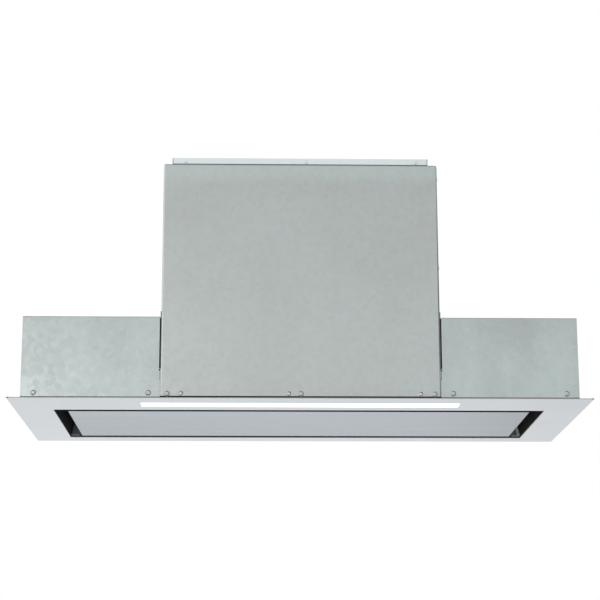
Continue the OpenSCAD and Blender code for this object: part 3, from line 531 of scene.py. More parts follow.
@dataclass(frozen=True)
class PlatedSteel(Finish):
    """Metal under a thin film, plated or its own, that gives a cast of another colour; on the funnel's rear
    corner plates its grey is painted light.
    """

    cast: str = "#B7B9B6"
    cloud: float = 5.0
    spot: float = 2.0
    grit: float = 0.8
    relief: float = 0.008

    def pattern(self, on: Surface) -> None:
        """Draws the uneven cast and the fine dull spots that handling leaves.

        Args:
            on: The material's tree.
        """
        place = on.add("TexCoord").outputs["Object"]
        clouds = on.add("TexNoise", {"Vector": place, "Scale": per_mm(self.cloud), "Detail": 2})
        colour = on.two_tone(clouds, (0.3, 0.7), (linear(self.colour), linear(self.cast)), most=0.6)
        spots = on.add("TexNoise", {"Vector": place, "Scale": per_mm(self.spot), "Detail": 2})
        grains = on.add("TexNoise", {"Vector": place, "Scale": per_mm(self.grit), "Detail": 2})
        self.lay(on, colour, grains, self.relief, spots, spread=(0.1, 0.14))


@dataclass(frozen=True)
class MouldedPlastic(Finish):
    """Plastic or rubber from a spark-eroded mould, whose grain dulls the surface evenly."""

    flow: float = 30.0
    flow_gain: float = 1.3
    sheen: float = 11.0
    grit: float = 0.8
    relief: float = 0.02

    def pattern(self, on: Surface) -> None:
        """Draws the mould's grain and the slow flow marks under it.

        Args:
            on: The material's tree.
        """
        place = on.add("TexCoord").outputs["Object"]
        flow = on.add("TexNoise", {"Vector": place, "Scale": per_mm(self.flow), "Detail": 3})
        colour = on.two_tone(flow, (0.3, 0.7), (self.shade(1), self.shade(self.flow_gain)))
        sheen = on.add("TexNoise", {"Vector": place, "Scale": per_mm(self.sheen), "Detail": 2})
        grain = on.add("TexNoise", {"Vector": place, "Scale": per_mm(self.grit), "Detail": 3})
        self.lay(on, colour, grain, self.relief, sheen, spread=(0.08, 0.1))


@dataclass(frozen=True)
class FoamRubber(Finish):
    """Closed-cell foam strip, cut from a block so that its face is pitted with open half cells."""

    cell: float = 1.2
    rim_gain: float = 1.8
    pit: float = 0.4

    def pattern(self, on: Surface) -> None:
        """Draws the pits and their paler rims.

        Args:
            on: The material's tree.
        """
        place = on.add("TexCoord").outputs["Object"]
        cells = on.add("TexVoronoi", {"Vector": place, "Scale": per_mm(self.cell)})
        colour = on.two_tone(cells, (0.1, 0.7), (self.shade(1), self.shade(self.rim_gain)))
        self.lay(on, colour, cells, self.pit)


@dataclass(frozen=True)
class OpalAcrylic(Finish):
    """Extruded opal acrylic lit from behind, which spreads the diodes' light to one even glow."""

    glow: float = 1.15
    tint: str = "#F4F8FF"
    pitch: float = 17.3
    grit: float = 2.5
    relief: float = 0.01

    def pattern(self, on: Surface) -> None:
        """Lights the lens, with the faint ripple that the diodes behind it leave.

        Args:
            on: The material's tree.
        """
        place = on.add("TexCoord").outputs["Object"]
        ripple = on.add("TexWave", {"Vector": place, "Scale": per_mm(self.pitch) / WAVES}).outputs["Fac"]
        grains = on.add("TexNoise", {"Vector": place, "Scale": per_mm(self.grit), "Detail": 2})
        on.coat({
            "Emission Color": on.two_tone(ripple, (0.0, 1.0), (WHITE, linear(self.tint)), most=0.5),
            "Emission Strength": self.glow,
            "Normal": on.add("Bump", {"Height": grains, "Distance": self.relief * MM}),
        })


@dataclass(frozen=True)
class LaminatedSteel(Finish):
    """Stacked electrical steel; the edges of its sheets ring the motor as fine dark lines.

    The sheets are 0.5 mm thick and are drawn 1.5 mm thick so that they show.
    """

    sheet: float = 1.5
    edge_shade: float = 0.45
    groove: float = 0.1

    def pattern(self, on: Surface) -> None:
        """Draws the sheets' edges round the stack.

        Args:
            on: The material's tree.
        """
        place = on.add("TexCoord").outputs["Object"]
        edges = on.add("TexWave", {"Vector": place, "Scale": per_mm(self.sheet) / WAVES}).outputs["Fac"]
        colour = on.two_tone(edges, (0.1, 0.5), (self.shade(self.edge_shade), self.shade(1)))
        self.lay(on, colour, edges, self.groove)


@dataclass(frozen=True)
class PrintedBoard(Finish):
    """Glass-fibre circuit board: copper tracks show as paler lines through the lacquer."""

    track: float = 4.0
    copper: str = "#3E8A50"
    foil: float = 0.05

    def pattern(self, on: Surface) -> None:
        """Draws the tracks as the borders of a coarse cell pattern.

        Args:
            on: The material's tree.
        """
        place = on.add("TexCoord").outputs["Object"]
        inputs = {"Vector": place, "Scale": per_mm(self.track), "Randomness": 0.4}
        cells = on.add("TexVoronoi", inputs, feature="DISTANCE_TO_EDGE")
        tracks = on.add("MapRange", {"Value": cells, "From Min": 0.1, "From Max": 0.06})
        shades = {6: linear(self.colour), 7: linear(self.copper)}
        self.lay(on, on.add("Mix", {0: tracks, **shades}, data_type="RGBA"), tracks, self.foil)


# Each finish is named for the real material or for the light or shade painted into it; its colour is
# matched to the hood under plain light.
# The powder bakes to a pale satin skin; its front edge and two front tips carry painted shade.
FRAME_PAINT = PowderCoat("powder_coated_steel_pale_grey", "#CFD4D9", 0.5, specular=0.38, shaded_tip_size=4.0)
# The cover's crystals hardly show; its left fold has a painted highlight, its right and top folds a
# painted shade and its foot painted light, and a pale band lies below its top fold.
COVER_ZINC = GalvanisedSheet(
    "galvanised_steel_cover", "#AEB4B2", 0.5, 1.0, light="#B1B8B7", dark="#AEB3B1", spangle=7, lean=0.004,
    weights=(0.03, 0.15, 0.82), shade_kept_top=0.7, left_bend_highlight=0.45, foot_light=0.11, band="#B4BEBD",
)
# The wings show more of their crystals and a sprinkle of bright specks; painted light makes their foot
# paler and their up and right bends carry painted shade.
WING_ZINC = GalvanisedSheet(
    "galvanised_steel_wings", "#B0B7B6", 0.46, 1.0, light="#B4BFBE", dark="#A8AEAD", spangle=8, lean=0.009,
    specks=0.13, shade_kept_top=0.7, shade_kept_foot=0.7, foot_light=0.11, drop=136,
)
# The lip and the rivets are the brightest zinc, streaked from left to right; their up and right bends carry
# painted shade.
LIP_ZINC = GalvanisedSheet(
    "galvanised_steel_bright", "#D2DADE", 0.4, 1.0, light="#DAE4E6", dark="#D3DADC", spangle=8, lean=0.01,
    flow=(0.2, 1.0, 1.0), shade_kept_top=0.8,
)
# Pressing breaks the crystals small; the upper and right sides of the clinch rings and the screw washers
# carry a heavy painted shade, the shadow that the heads and domes cast.
RIM_SHADE_ZINC = GalvanisedSheet(
    "galvanised_steel_painted_rim_shade", "#AEB5B4", 0.45, 1.0, light="#B2B9B8", dark="#AAB1B0", spangle=4,
    shade_kept_top=0.3, shade_kept_foot=0.25,
)
# A shear leaves an edge dark and grained. The pale grained strips on the funnel's rear corner plates are
# painted highlights.
SHEARED_STEEL = BrushedMetal("sheared_steel_edge", "#484C4E", 0.5, 1.0, grain=Axis.Z, scratch=0.4, run=8)
HIGHLIGHT_EDGE_STEEL = BrushedMetal("painted_highlight_edge", "#A0A3A4", 0.42, 1.0, grain=Axis.X, scratch=0.4, run=8)
# These strips have no shine. The grey ones in the slots beside the cover and under the lip are painted
# shade of those joints; the black rim seal is a real foam seal whose black also paints the gap's shadow.
SLOT_SHADE_GREY = FoamRubber("slot_painted_shade_grey", "#5A5C5D", 0.9, specular=0.25)
LIP_SHADE_GREY = FoamRubber("lip_painted_shade_dark_grey", "#414344", 0.9, specular=0.25)
BLACK_SEAL_AND_GAP_SHADE = FoamRubber("black_foam_seal_and_painted_gap_shade", "#161717", 0.9, specular=0.25)
# The funnel is painted near black and almost without a shine: painted shade for its dark inside.
FUNNEL_SHADE_BLACK = PowderCoat("funnel_painted_shade_black", "#0A0B0B", 0.7, specular=0.07, peel=2.2, peel_depth=0.03)
# The panel's grain runs from left to right, and its long folds carry a painted shade and a painted dark
# reflection beside the gaps.
PANEL_STEEL = BrushedMetal("brushed_stainless_steel", "#9EA4AB", 0.42, 1.0, rim="#26282A")
# Rolled aluminium is bright along its grain; slit and stretched to a net, it shines from every strand.
FILTER_RAIL = BrushedMetal("rolled_aluminium", "#C6C8C9", 0.36, 1.0, scratch=0.7, run=40, contrast=0.05)
FILTER_NET = PlatedSteel("expanded_aluminium", "#C2C4C6", 0.34, 1.0, cast="#B4B6B8")
# Zinc plating is a bluish grey and new screws are the brightest; the dark grey of the funnel's rear
# corner plates is painted light, the lit part of its rear wall.
PLATED = PlatedSteel("zinc_plated_steel", "#BEC2C4", 0.34, 1.0)
REAR_WALL_LIGHT_GREY = PlatedSteel("funnel_rear_wall_painted_light", "#585B5D", 0.5, 1.0, cast="#505355")
SCREW_PLATED = PlatedSteel("bright_zinc_screw_steel", "#CFD5D4", 0.25, 1.0, cast="#C6CCCA")
# Grinding leaves fine lines on what is almost a mirror.
SHAFT_STEEL = BrushedMetal("ground_shaft_steel", "#C2C4C6", 0.2, 1.0, grain=Axis.Y, scratch=0.5, run=30)
# The lens glows white and hides its diodes.
LENS = OpalAcrylic("opal_acrylic_lit", "#F7F8F8", 0.4)
# Mouldings are satin in their own colour; small cases are a little glossier and rubber is almost matt.
BLACK_ABS = MouldedPlastic("moulded_abs_black", "#222324", 0.48)
BLOWER_PP = MouldedPlastic("moulded_polypropylene_charcoal", "#343638", 0.5)
WHEEL_PP = MouldedPlastic("moulded_polypropylene_dark", "#2B2C2E", 0.45)
FLAP_PP = MouldedPlastic("moulded_polypropylene_flap", "#3A3C3E", 0.46)
CREAM_ABS = MouldedPlastic("moulded_abs_cream", "#E4E3DC", 0.4)
RELAY_BLUE = MouldedPlastic("moulded_polyester_blue", "#2A4C8C", 0.35)
MAGNET_CASE = MouldedPlastic("moulded_nylon_black", "#1F2021", 0.42)
GLAND_RUBBER = MouldedPlastic("moulded_rubber_black", "#191919", 0.75, grit=0.6, relief=0.03)
# The sheets' edges line the motor, and lacquer gives both boards a gloss.
MOTOR_STACK = LaminatedSteel("laminated_motor_steel", "#8D9092", 0.42, 0.9)
BOARD_GREEN = PrintedBoard("lacquered_circuit_board", "#1F6B38", 0.3)
BOARD_WHITE = PrintedBoard("white_lacquered_circuit_board", "#E9E8E2", 0.4, track=6.0, copper="#D9D6C8")
# Phosphor in clear silicone makes the unlit diodes yellow.
PHOSPHOR = MouldedPlastic("cast_silicone_phosphor", "#EBD27A", 0.3)


# Making pieces


def unit(axis: int) -> Vector:
    """Gives the unit vector along axis 0, 1 or 2."""
    return Vector(1.0 if i == axis else 0.0 for i in range(3))


def aside(step: Vector, axis: int) -> float:
    """Gives how far a step goes across axis 0, 1 or 2."""
    return (step - unit(axis) * step[axis]).length


def circle(radius: float, height: float, steps: int) -> list[Vector]:
    """Gives the points of a circle round the Z axis at a height."""
    turns = [2 * math.pi * i / steps for i in range(steps)]
    return [Vector((radius * math.cos(turn), radius * math.sin(turn), height)) for turn in turns]


@dataclass
class Blank:
    """A shape in the making, whose new faces take the finish that is in hand."""

    mesh: BMesh = field(default_factory=bmesh.new)
    in_hand: int = 0

    def points(self, corners: Iterable[Vector]) -> list[BMVert]:
        """Adds a point at each corner."""
        return [self.mesh.verts.new(corner) for corner in corners]

    def face(self, corners: Iterable[BMVert]) -> None:
        """Adds a face, unless fewer than three corners are left.

        Args:
            corners: Its corners, in order; one that comes twice counts once.
        """
        unique = list(dict.fromkeys(corners))
        if len(unique) > 2:
            self.mesh.faces.new(unique).material_index = self.in_hand

    def join(self, rings: list[list[BMVert]]) -> None:
        """Joins each ring of points to the next one.

        Args:
            rings: The rings, in order; a ring of one point is a tip.
        """
        for lower, upper in zip(rings, rings[1:]):
            for i in range(max(len(lower), len(upper))):
                a, b, c, d = i % len(lower), (i + 1) % len(lower), (i + 1) % len(upper), i % len(upper)
                self.face([lower[a], lower[b], upper[c], upper[d]])

    def lathe(self, outline: Outline, steps: int, place: Matrix) -> None:
        """Turns an outline round the Z axis of a place and closes it.

        Args:
            outline: Its (radius, height) points, from one end to the other; a radius of 0 closes that end.
            steps: The number of steps round the axis.
            place: Where the turned form stands.
        """
        rings = [circle(radius, height, steps if radius else 1) for radius, height in outline]
        self.join([self.points(place @ corner for corner in ring) for ring in rings])

    def slab(self, outline: list[Vector], thickness: Vector) -> None:
        """Adds a flat plate.

        Args:
            outline: The corners of one face, in order.
            thickness: The step from that face to the other.
        """
        near = self.points(outline)
        far = self.points(corner + thickness for corner in outline)
        self.face(near)
        self.face(reversed(far))
        self.join([near, far])


def make_piece(
    name: str,
    blank: Blank,
    finishes: tuple[Finish, ...],
    slot: Slot,
    body: Body = Body.HOUSING,
    replaces: tuple[str, ...] = (),
    crease: float = 38.0,
) -> None:
    """Turns a finished blank to a piece that rides on a body.

    Args:
        name: The piece's name.
        blank: The blank, whose shape is freed.
        finishes: The finishes that its faces' numbers mean.
        slot: A material slot of the record; it is not used.
        body: The body that it rides on.
        replaces: The nodes that it stands for.
        crease: Edges that bend by more than this many degrees stay sharp.
    """
    shape = blank.mesh
    bmesh.ops.recalc_face_normals(shape, faces=shape.faces)
    for face in shape.faces:
        face.smooth = True
    for edge in shape.edges:
        edge.smooth = len(edge.link_faces) == 2 and edge.calc_face_angle(0.0) < math.radians(crease)
    mesh = bpy.data.meshes.new(name)
    shape.to_mesh(mesh)
    shape.free()
    for finish in finishes:
        mesh.materials.append(finish.material())
    piece = bpy.data.objects.new(name, mesh)
    bpy.context.scene.collection.objects.link(piece)
    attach(piece, body.value)
    if replaces:
        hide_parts(*replaces)
    LOG.info("built %s with %d faces on %s", name, len(mesh.polygons), body.value)


def mounting(name: str) -> dict[str, float]:
    """Gives the sizes, in millimetres, of one of the record's mounts."""
    return next(mount["dims"] for mount in frame["record"]["mounts"] if mount["name"] == name)


@dataclass(frozen=True)
class Seat:
    """Where one fastener of a node sits: its outer end, its axis and its length."""

    top: Vector
    outward: Vector
    length: float

    def place(self, turn: float) -> Matrix:
        """Gives the place at the outer end, with +Z outward, turned by an angle in radians."""
        tilt = Vector((0, 0, 1)).rotation_difference(self.outward)
        return Matrix.Translation(self.top) @ (tilt @ Quaternion((0, 0, 1), turn)).to_matrix().to_4x4()


def seats(node: str) -> Iterator[Seat]:
    """Finds the fasteners of a node, each of which is one loose solid with a wide head.

    Args:
        node: The node's name.

    Yields:
        The seat of each fastener, in a fixed order.
    """
    mesh = frame["nodes"][node].data
    grid = 0.001 * MM
    keys = [tuple(round(c / grid) for c in vertex.co) for vertex in mesh.vertices]
    leader = {key: key for key in keys}

    def find(key: tuple[int, ...]) -> tuple[int, ...]:
        """Finds the point that leads a point's solid.

        Args:
            key: The point.

        Returns:
            The point that leads it.
        """
        while leader[key] != key:
            leader[key] = leader[leader[key]]
            key = leader[key]
        return key

    for polygon in mesh.polygons:
        first, *others = (keys[i] for i in polygon.vertices)
        for other in others:
            leader[find(other)] = find(first)
    solids: dict[tuple[int, ...], list[Vector]] = {}
    for key in sorted(leader):
        solids.setdefault(find(key), []).append(Vector(key) * grid)
    for points in solids.values():
        low = Vector(min(p[i] for p in points) for i in range(3))
        high = Vector(max(p[i] for p in points) for i in range(3))
        size, centre = high - low, (low + high) / 2
        # a round head reaches least far from its own axis
        axis = min(range(3), key=lambda i: max(aside(p - centre, i) for p in points))
        across = max(size[i] for i in range(3) if i != axis)
        rim = [p[axis] for p in points if aside(p - centre, axis) > 0.45 * across]
        sign = 1 if sum(rim) / len(rim) > centre[axis] else -1
        yield Seat(centre + unit(axis) * (sign * size[axis] / 2), unit(axis) * sign, size[axis])


# Sub-assemblies


class SubAssembly:
    """A part of the hood, with the fine pieces that it builds and the nodes that each finish goes on."""

    coats: ClassVar[dict[Finish, list[str]]] = {}

    def build(self) -> None:
        """Builds the fine pieces; a plain sub-assembly has none."""

    def dress(self) -> None:
        """Gives each node of the frame its finish."""
        for finish, nodes in self.coats.items():
            for name in nodes:
                item = frame["nodes"][name]
                if not item.material_slots:
                    item.data.materials.append(finish.material())
                for place in item.material_slots:
                    place.material = finish.material()
                LOG.info("dressed %s in %s", name, finish.name)


@dataclass
class Housing(SubAssembly):
    """The sheet-metal body and the bottom frame that it stands on."""

    coats = {
        FRAME_PAINT: ["bottom_frame"],
        # a real black foam seal, whose black also paints the shadow of the gap under the body
        BLACK_SEAL_AND_GAP_SHADE: ["rim_seal"],
        WING_ZINC: ["left_wing_casing", "right_wing_casing", "left_end_plate", "right_end_plate"],
        COVER_ZINC: ["front_cover", "left_box_side", "right_box_side", "rear_panel", "plenum_floor"],
        LIP_ZINC: ["top_plate"],
    }
    clinch_x: tuple[float, ...] = (-177 * MM, -18 * MM, 177 * MM)
    clinch_z: float = 11 * MM
    clinch_r: float = 2.2 * MM
    clinch_rim: float = 3.4 * MM
    clinch_h: float = 0.5 * MM
    # how high the foot of dome and ring lies, which is inside the sheet
    clinch_foot: float = -0.3 * MM
    # shares of the dome's radius and of its height
    clinch_dome: Shares = ((0, 1), (0.5, 0.96), (0.85, 0.7), (1, 0.2))
    ring_h: float = 0.6 * MM
    ring_rim_h: float = 0.05 * MM
    # the grey strip in the slot above the tab is painted shade
    slot_shade_w: float = 1.3 * MM
    slot_shade_t: float = 2.0 * MM
    slot_shade_sink: float = 0.6 * MM
    slot_shade_bevel: float = 0.2 * MM
    slot_shade_gap: float = 1.5 * MM
    tab_top: float = 47 * MM
    # the tab's width over the shade strip's
    tab_wider: float = 1.3
    lip_y: float = -155.7 * MM
    lip_half: float = 195 * MM
    # the strip of painted shade in the corner between the cover's top fold and the lip
    strip_t: float = 0.3 * MM
    strip_low: float = 2.0 * MM
    strip_rise: float = 5.15 * MM
    strip_bevel: float = 0.2 * MM
    # the bare edge's sizes, its lap round the corner and how much shorter than the lip it is
    edge_w: float = 0.9 * MM
    edge_proud: float = 0.06 * MM
    edge_t: float = 0.1 * MM
    edge_lap: float = 0.05 * MM
    edge_short: float = 0.4 * MM
    steps: int = 32

    def build(self) -> None:
        """Builds the clinch marks, the strips of painted shade beside the cover and the strips that line
        the lip.
        """
        self.clinch_marks()
        self.side_joints()
        self.lip_lining()

    def clinch_marks(self) -> None:
        """Builds the marks that join the cover to the upstand: a dome with a painted highlight in a pressed
        ring with painted shade.
        """
        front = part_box("front_cover")[0].y
        turn = Matrix.Rotation(math.radians(90), 4, "X")
        r, rim, foot = self.clinch_r, self.clinch_rim, self.clinch_foot
        dome = [(share * r, rise * self.clinch_h) for share, rise in self.clinch_dome]
        ring = [(r, foot), (r, self.ring_h), (rim, self.ring_rim_h), (rim, foot), (r, foot)]
        blank = Blank()
        for x in self.clinch_x:
            place = Matrix.Translation((x, front, self.clinch_z)) @ turn
            # the dome takes the bright screw zinc, a painted highlight on what is the cover's own sheet
            blank.in_hand = 0
            blank.lathe([*dome, (r, foot), (0.0, foot)], self.steps, place)
            # the ring carries a painted shade on its upper and right sides
            blank.in_hand = 1
            blank.lathe(ring, self.steps, place)
        make_piece("clinch_marks", blank, (SCREW_PLATED, RIM_SHADE_ZINC), Slot.GALVANISED_BOX)

    def side_joints(self) -> None:
        """Builds the zinc tab at the foot of each joint between cover and wing, and above it a grey strip
        of painted shade.
        """
        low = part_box("front_cover")[0]
        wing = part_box("right_wing_casing")
        front = low.y + self.slot_shade_sink
        bevel, back = front + self.slot_shade_bevel, front + self.slot_shade_t
        shade_strips, tabs = Blank(), Blank()
        for side in (-1, 1):
            edge = side * wing[0].x
            for blank, bottom, top, width in (
                (tabs, low.z, self.tab_top, self.tab_wider * self.slot_shade_w),
                (shade_strips, self.tab_top + self.slot_shade_gap, wing[1].z, self.slot_shade_w),
            ):
                inner = edge - side * width
                middle = edge - side * 0.5 * width
                places = ((edge, bevel), (middle, front), (inner, bevel), (inner, back), (edge, back))
                blank.slab([Vector((*place, bottom)) for place in places], Vector((0, 0, top - bottom)))
        make_piece("side_joint_tabs", tabs, (WING_ZINC,), Slot.GALVANISED_BOX)
        # the grey strips are painted shade in the slots between cover and wings
        make_piece("side_joint_shade_strips", shade_strips, (SLOT_SHADE_GREY,), Slot.BLACK_FOAM)

    def lip_lining(self) -> None:
        """Builds the dark strip of painted shade between cover and lip and the bare sheared ends of the
        lip.
        """
        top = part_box("front_cover")[1].z
        lip_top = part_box("top_plate")[1].z
        strip, ends = Blank(), Blank()
        back = Vector((-self.lip_half, self.lip_y, top - self.strip_low))
        thick, rise = self.strip_t, self.strip_rise + self.strip_low
        profile = ((0, 0), (-thick, 0), (-thick, rise - self.strip_bevel), (-thick / 2, rise), (0, rise))
        strip.slab([back + Vector((0, *step)) for step in profile], Vector((2 * self.lip_half, 0, 0)))
        # painted shade in the corner between the cover's top fold and the lip
        make_piece("lip_shade_strip", strip, (LIP_SHADE_GREY,), Slot.BLACK_FOAM)
        for side in (-1, 1):
            corner = Vector((side * self.lip_half, self.lip_y - self.edge_proud, top))
            profile = ((0, 0), (-self.edge_w, 0), (-self.edge_w, self.edge_t), (self.edge_lap, self.edge_t))
            outline = [corner + Vector((side * inward, behind, 0)) for inward, behind in profile]
            ends.slab(outline, Vector((0, 0, lip_top - top - self.edge_short)))
        make_piece("lip_sheared_ends", ends, (SHEARED_STEEL,), Slot.GALVANISED_BOX)


@dataclass
class Suction(SubAssembly):
    """The suction funnel, the perimeter panel that closes it and what holds the panel."""

    coats = {
        # painted shade: the funnel is near black
        FUNNEL_SHADE_BLACK: ["suction_funnel"],
        PANEL_STEEL: ["perimeter_panel"],
        COVER_ZINC: ["panel_stiffeners"],
        PLATED: ["panel_strike_plates", "panel_hinge_lugs"],
        SHAFT_STEEL: ["panel_hinge_pins"],
        MAGNET_CASE: ["catch_magnets"],
    }
    lean: float = 8 / 28.8
    mouth: float = 1.6 * MM
    corner_x: float = 371.6 * MM
    corner_y: float = 155.4 * MM
    plate_low: float = 3.0 * MM
    plate_top: float = 27.5 * MM
    plate_w: float = 22 * MM
    plate_t: float = 0.3 * MM
    foot_h: float = 1.1 * MM
    foot_w: float = 13 * MM
    fold_w: float = 3.4 * MM
    fold_reach: float = 8 * MM

    def build(self) -> None:
        """Builds the plates that close the funnel's rear corners, whose grey is painted light of the lit
        rear wall, with painted highlights on their foot edges and on the right fold.
        """
        blank = Blank()
        foot_top = self.plate_low + self.foot_h
        for side in (-1, 1):
            self.strip(blank, side, (self.plate_low, self.plate_top), self.plate_w, self.plate_t)
        # painted highlights: pale strips on both foot edges, and a fold on the right plate only
        blank.in_hand = 1
        for side in (-1, 1):
            self.strip(blank, side, (self.plate_low, foot_top), self.foot_w, 2 * self.plate_t)
        self.strip(blank, 1, (foot_top, self.plate_top), self.fold_w, 2 * self.plate_t)
        low, high = (self.on_wall(1, height, 0.0) for height in (self.plate_low, self.plate_top))
        reach = Vector((0, -self.fold_reach, 0))
        blank.slab([low, low + reach, high + reach, high], Vector((-self.plate_t, 0, 0)))
        make_piece("funnel_corner_plates", blank, (REAR_WALL_LIGHT_GREY, HIGHLIGHT_EDGE_STEEL), Slot.GALVANISED_BOX)

    def on_wall(self, side: int, height: float, inward: float) -> Vector:
        """Gives a place on the funnel's rear wall, at a height and a distance from its corner."""
        drawn = self.lean * (height - self.mouth)
        return Vector((side * (self.corner_x - drawn - inward), self.corner_y - drawn, height))

    def strip(self, blank: Blank, side: int, heights: Pair, width: float, proud: float) -> None:
        """Adds a thin plate that lies on the rear wall, from its corner inward.

        Args:
            blank: The blank that gets the plate.
            side: -1 for the left corner and 1 for the right one.
            heights: The heights of its lower and upper edge.
            width: How far it goes from the corner.
            proud: How far it stands off the wall.
        """
        low, high = heights
        places = ((low, 0.0), (low, width), (high, width), (high, 0.0))
        blank.slab([self.on_wall(side, *place) for place in places], Vector((0, -proud, 0)))


@dataclass
class GreaseFilters(SubAssembly):
    """The two grease filters, each an aluminium frame round layers of expanded aluminium."""

    coats = {
        FILTER_RAIL: ["left_filter_frame", "right_filter_frame"],
        BLACK_ABS: ["left_filter_catch", "right_filter_catch"],
    }
    pitch: float = 12.0 * MM
    rise: float = 5.0 * MM
    crest: float = 0.25 * MM
    strand: float = 1.0 * MM
    foil: float = 0.4 * MM
    layers: int = 3

    def build(self) -> None:
        """Builds the expanded layers in place of the plain slabs."""
        for side in ("left", "right"):
            node = f"{side}_filter_mesh"
            low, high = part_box(node)
            blank = Blank()
            for layer in range(self.layers):
                height = low.z + (high.z - low.z) / self.layers * (layer + 0.5)
                self.net(blank, (low, high), height, Axis.Y if layer % 2 else Axis.X)
            make_piece(f"{side}_expanded_net", blank, (FILTER_NET,), Slot.FILTER_MESH, replaces=(node,))

    def net(self, blank: Blank, box: tuple[Vector, Vector], height: float, along: Axis) -> None:
        """Adds one layer, whose wavy strands meet their neighbours at each crest.

        Args:
            blank: The blank that gets the strands.
            box: The lowest and the highest corner of the filter's pack.
            height: The layer's height.
            along: The direction that the strands run in.
        """
        low, high = box
        run, across = along.value, 1 - along.value
        rows = int((high[across] - low[across]) / self.rise)
        spacing = (high[across] - low[across] - self.strand) / rows
        waves = int((high[run] - low[run]) / (self.pitch / 2))
        for row in range(rows):
            middle = low[across] + self.strand / 2 + spacing * (row + 0.5)
            points = []
            for i in range(waves + 1):
                swing = 1 if (i + row) % 2 else -1
                point = Vector((0, 0, height + swing * self.crest))
                point[run] = low[run] + (high[run] - low[run]) * i / waves
                point[across] = middle + swing * spacing / 2
                points.append(point)
            self.ribbon(blank, points, across)

    def ribbon(self, blank: Blank, points: list[Vector], across: int) -> None:
        """Adds one strand of foil.

        Args:
            blank: The blank that gets the strand.
            points: The points that its middle follows.
            across: The axis that its width lies along.
        """
        side = unit(across) * (self.strand / 2)
        lift = Vector((0, 0, self.foil / 2))
        corners = (side + lift, -side + lift, -side - lift, side - lift)
        rows = [blank.points(point + corner for corner in corners) for point in points]
        blank.join(rows)
        blank.face(rows[0])
        blank.face(reversed(rows[-1]))


class LightStrip(SubAssembly):
    """The light strip: an opal lens under a row of diodes, and its driver."""

    coats = {
        LENS: ["light_lens"],
        PLATED: ["light_housing"],
        BOARD_WHITE: ["led_board"],
        PHOSPHOR: ["led_chips"],
        CREAM_ABS: ["led_driver"],
    }


class Blower(SubAssembly):
    """The blower with its motor and fan wheel."""

    coats = {
        BLOWER_PP: ["left_blower_casing", "right_blower_casing", "inlet_guard"],
        WHEEL_PP: ["fan_wheel", "fan_blades", "fan_rings"],
        SHAFT_STEEL: ["motor_shaft", "motor_bearings"],
        MOTOR_STACK: ["motor"],
        PLATED: ["motor_spider"],
        CREAM_ABS: ["run_capacitor"],
    }


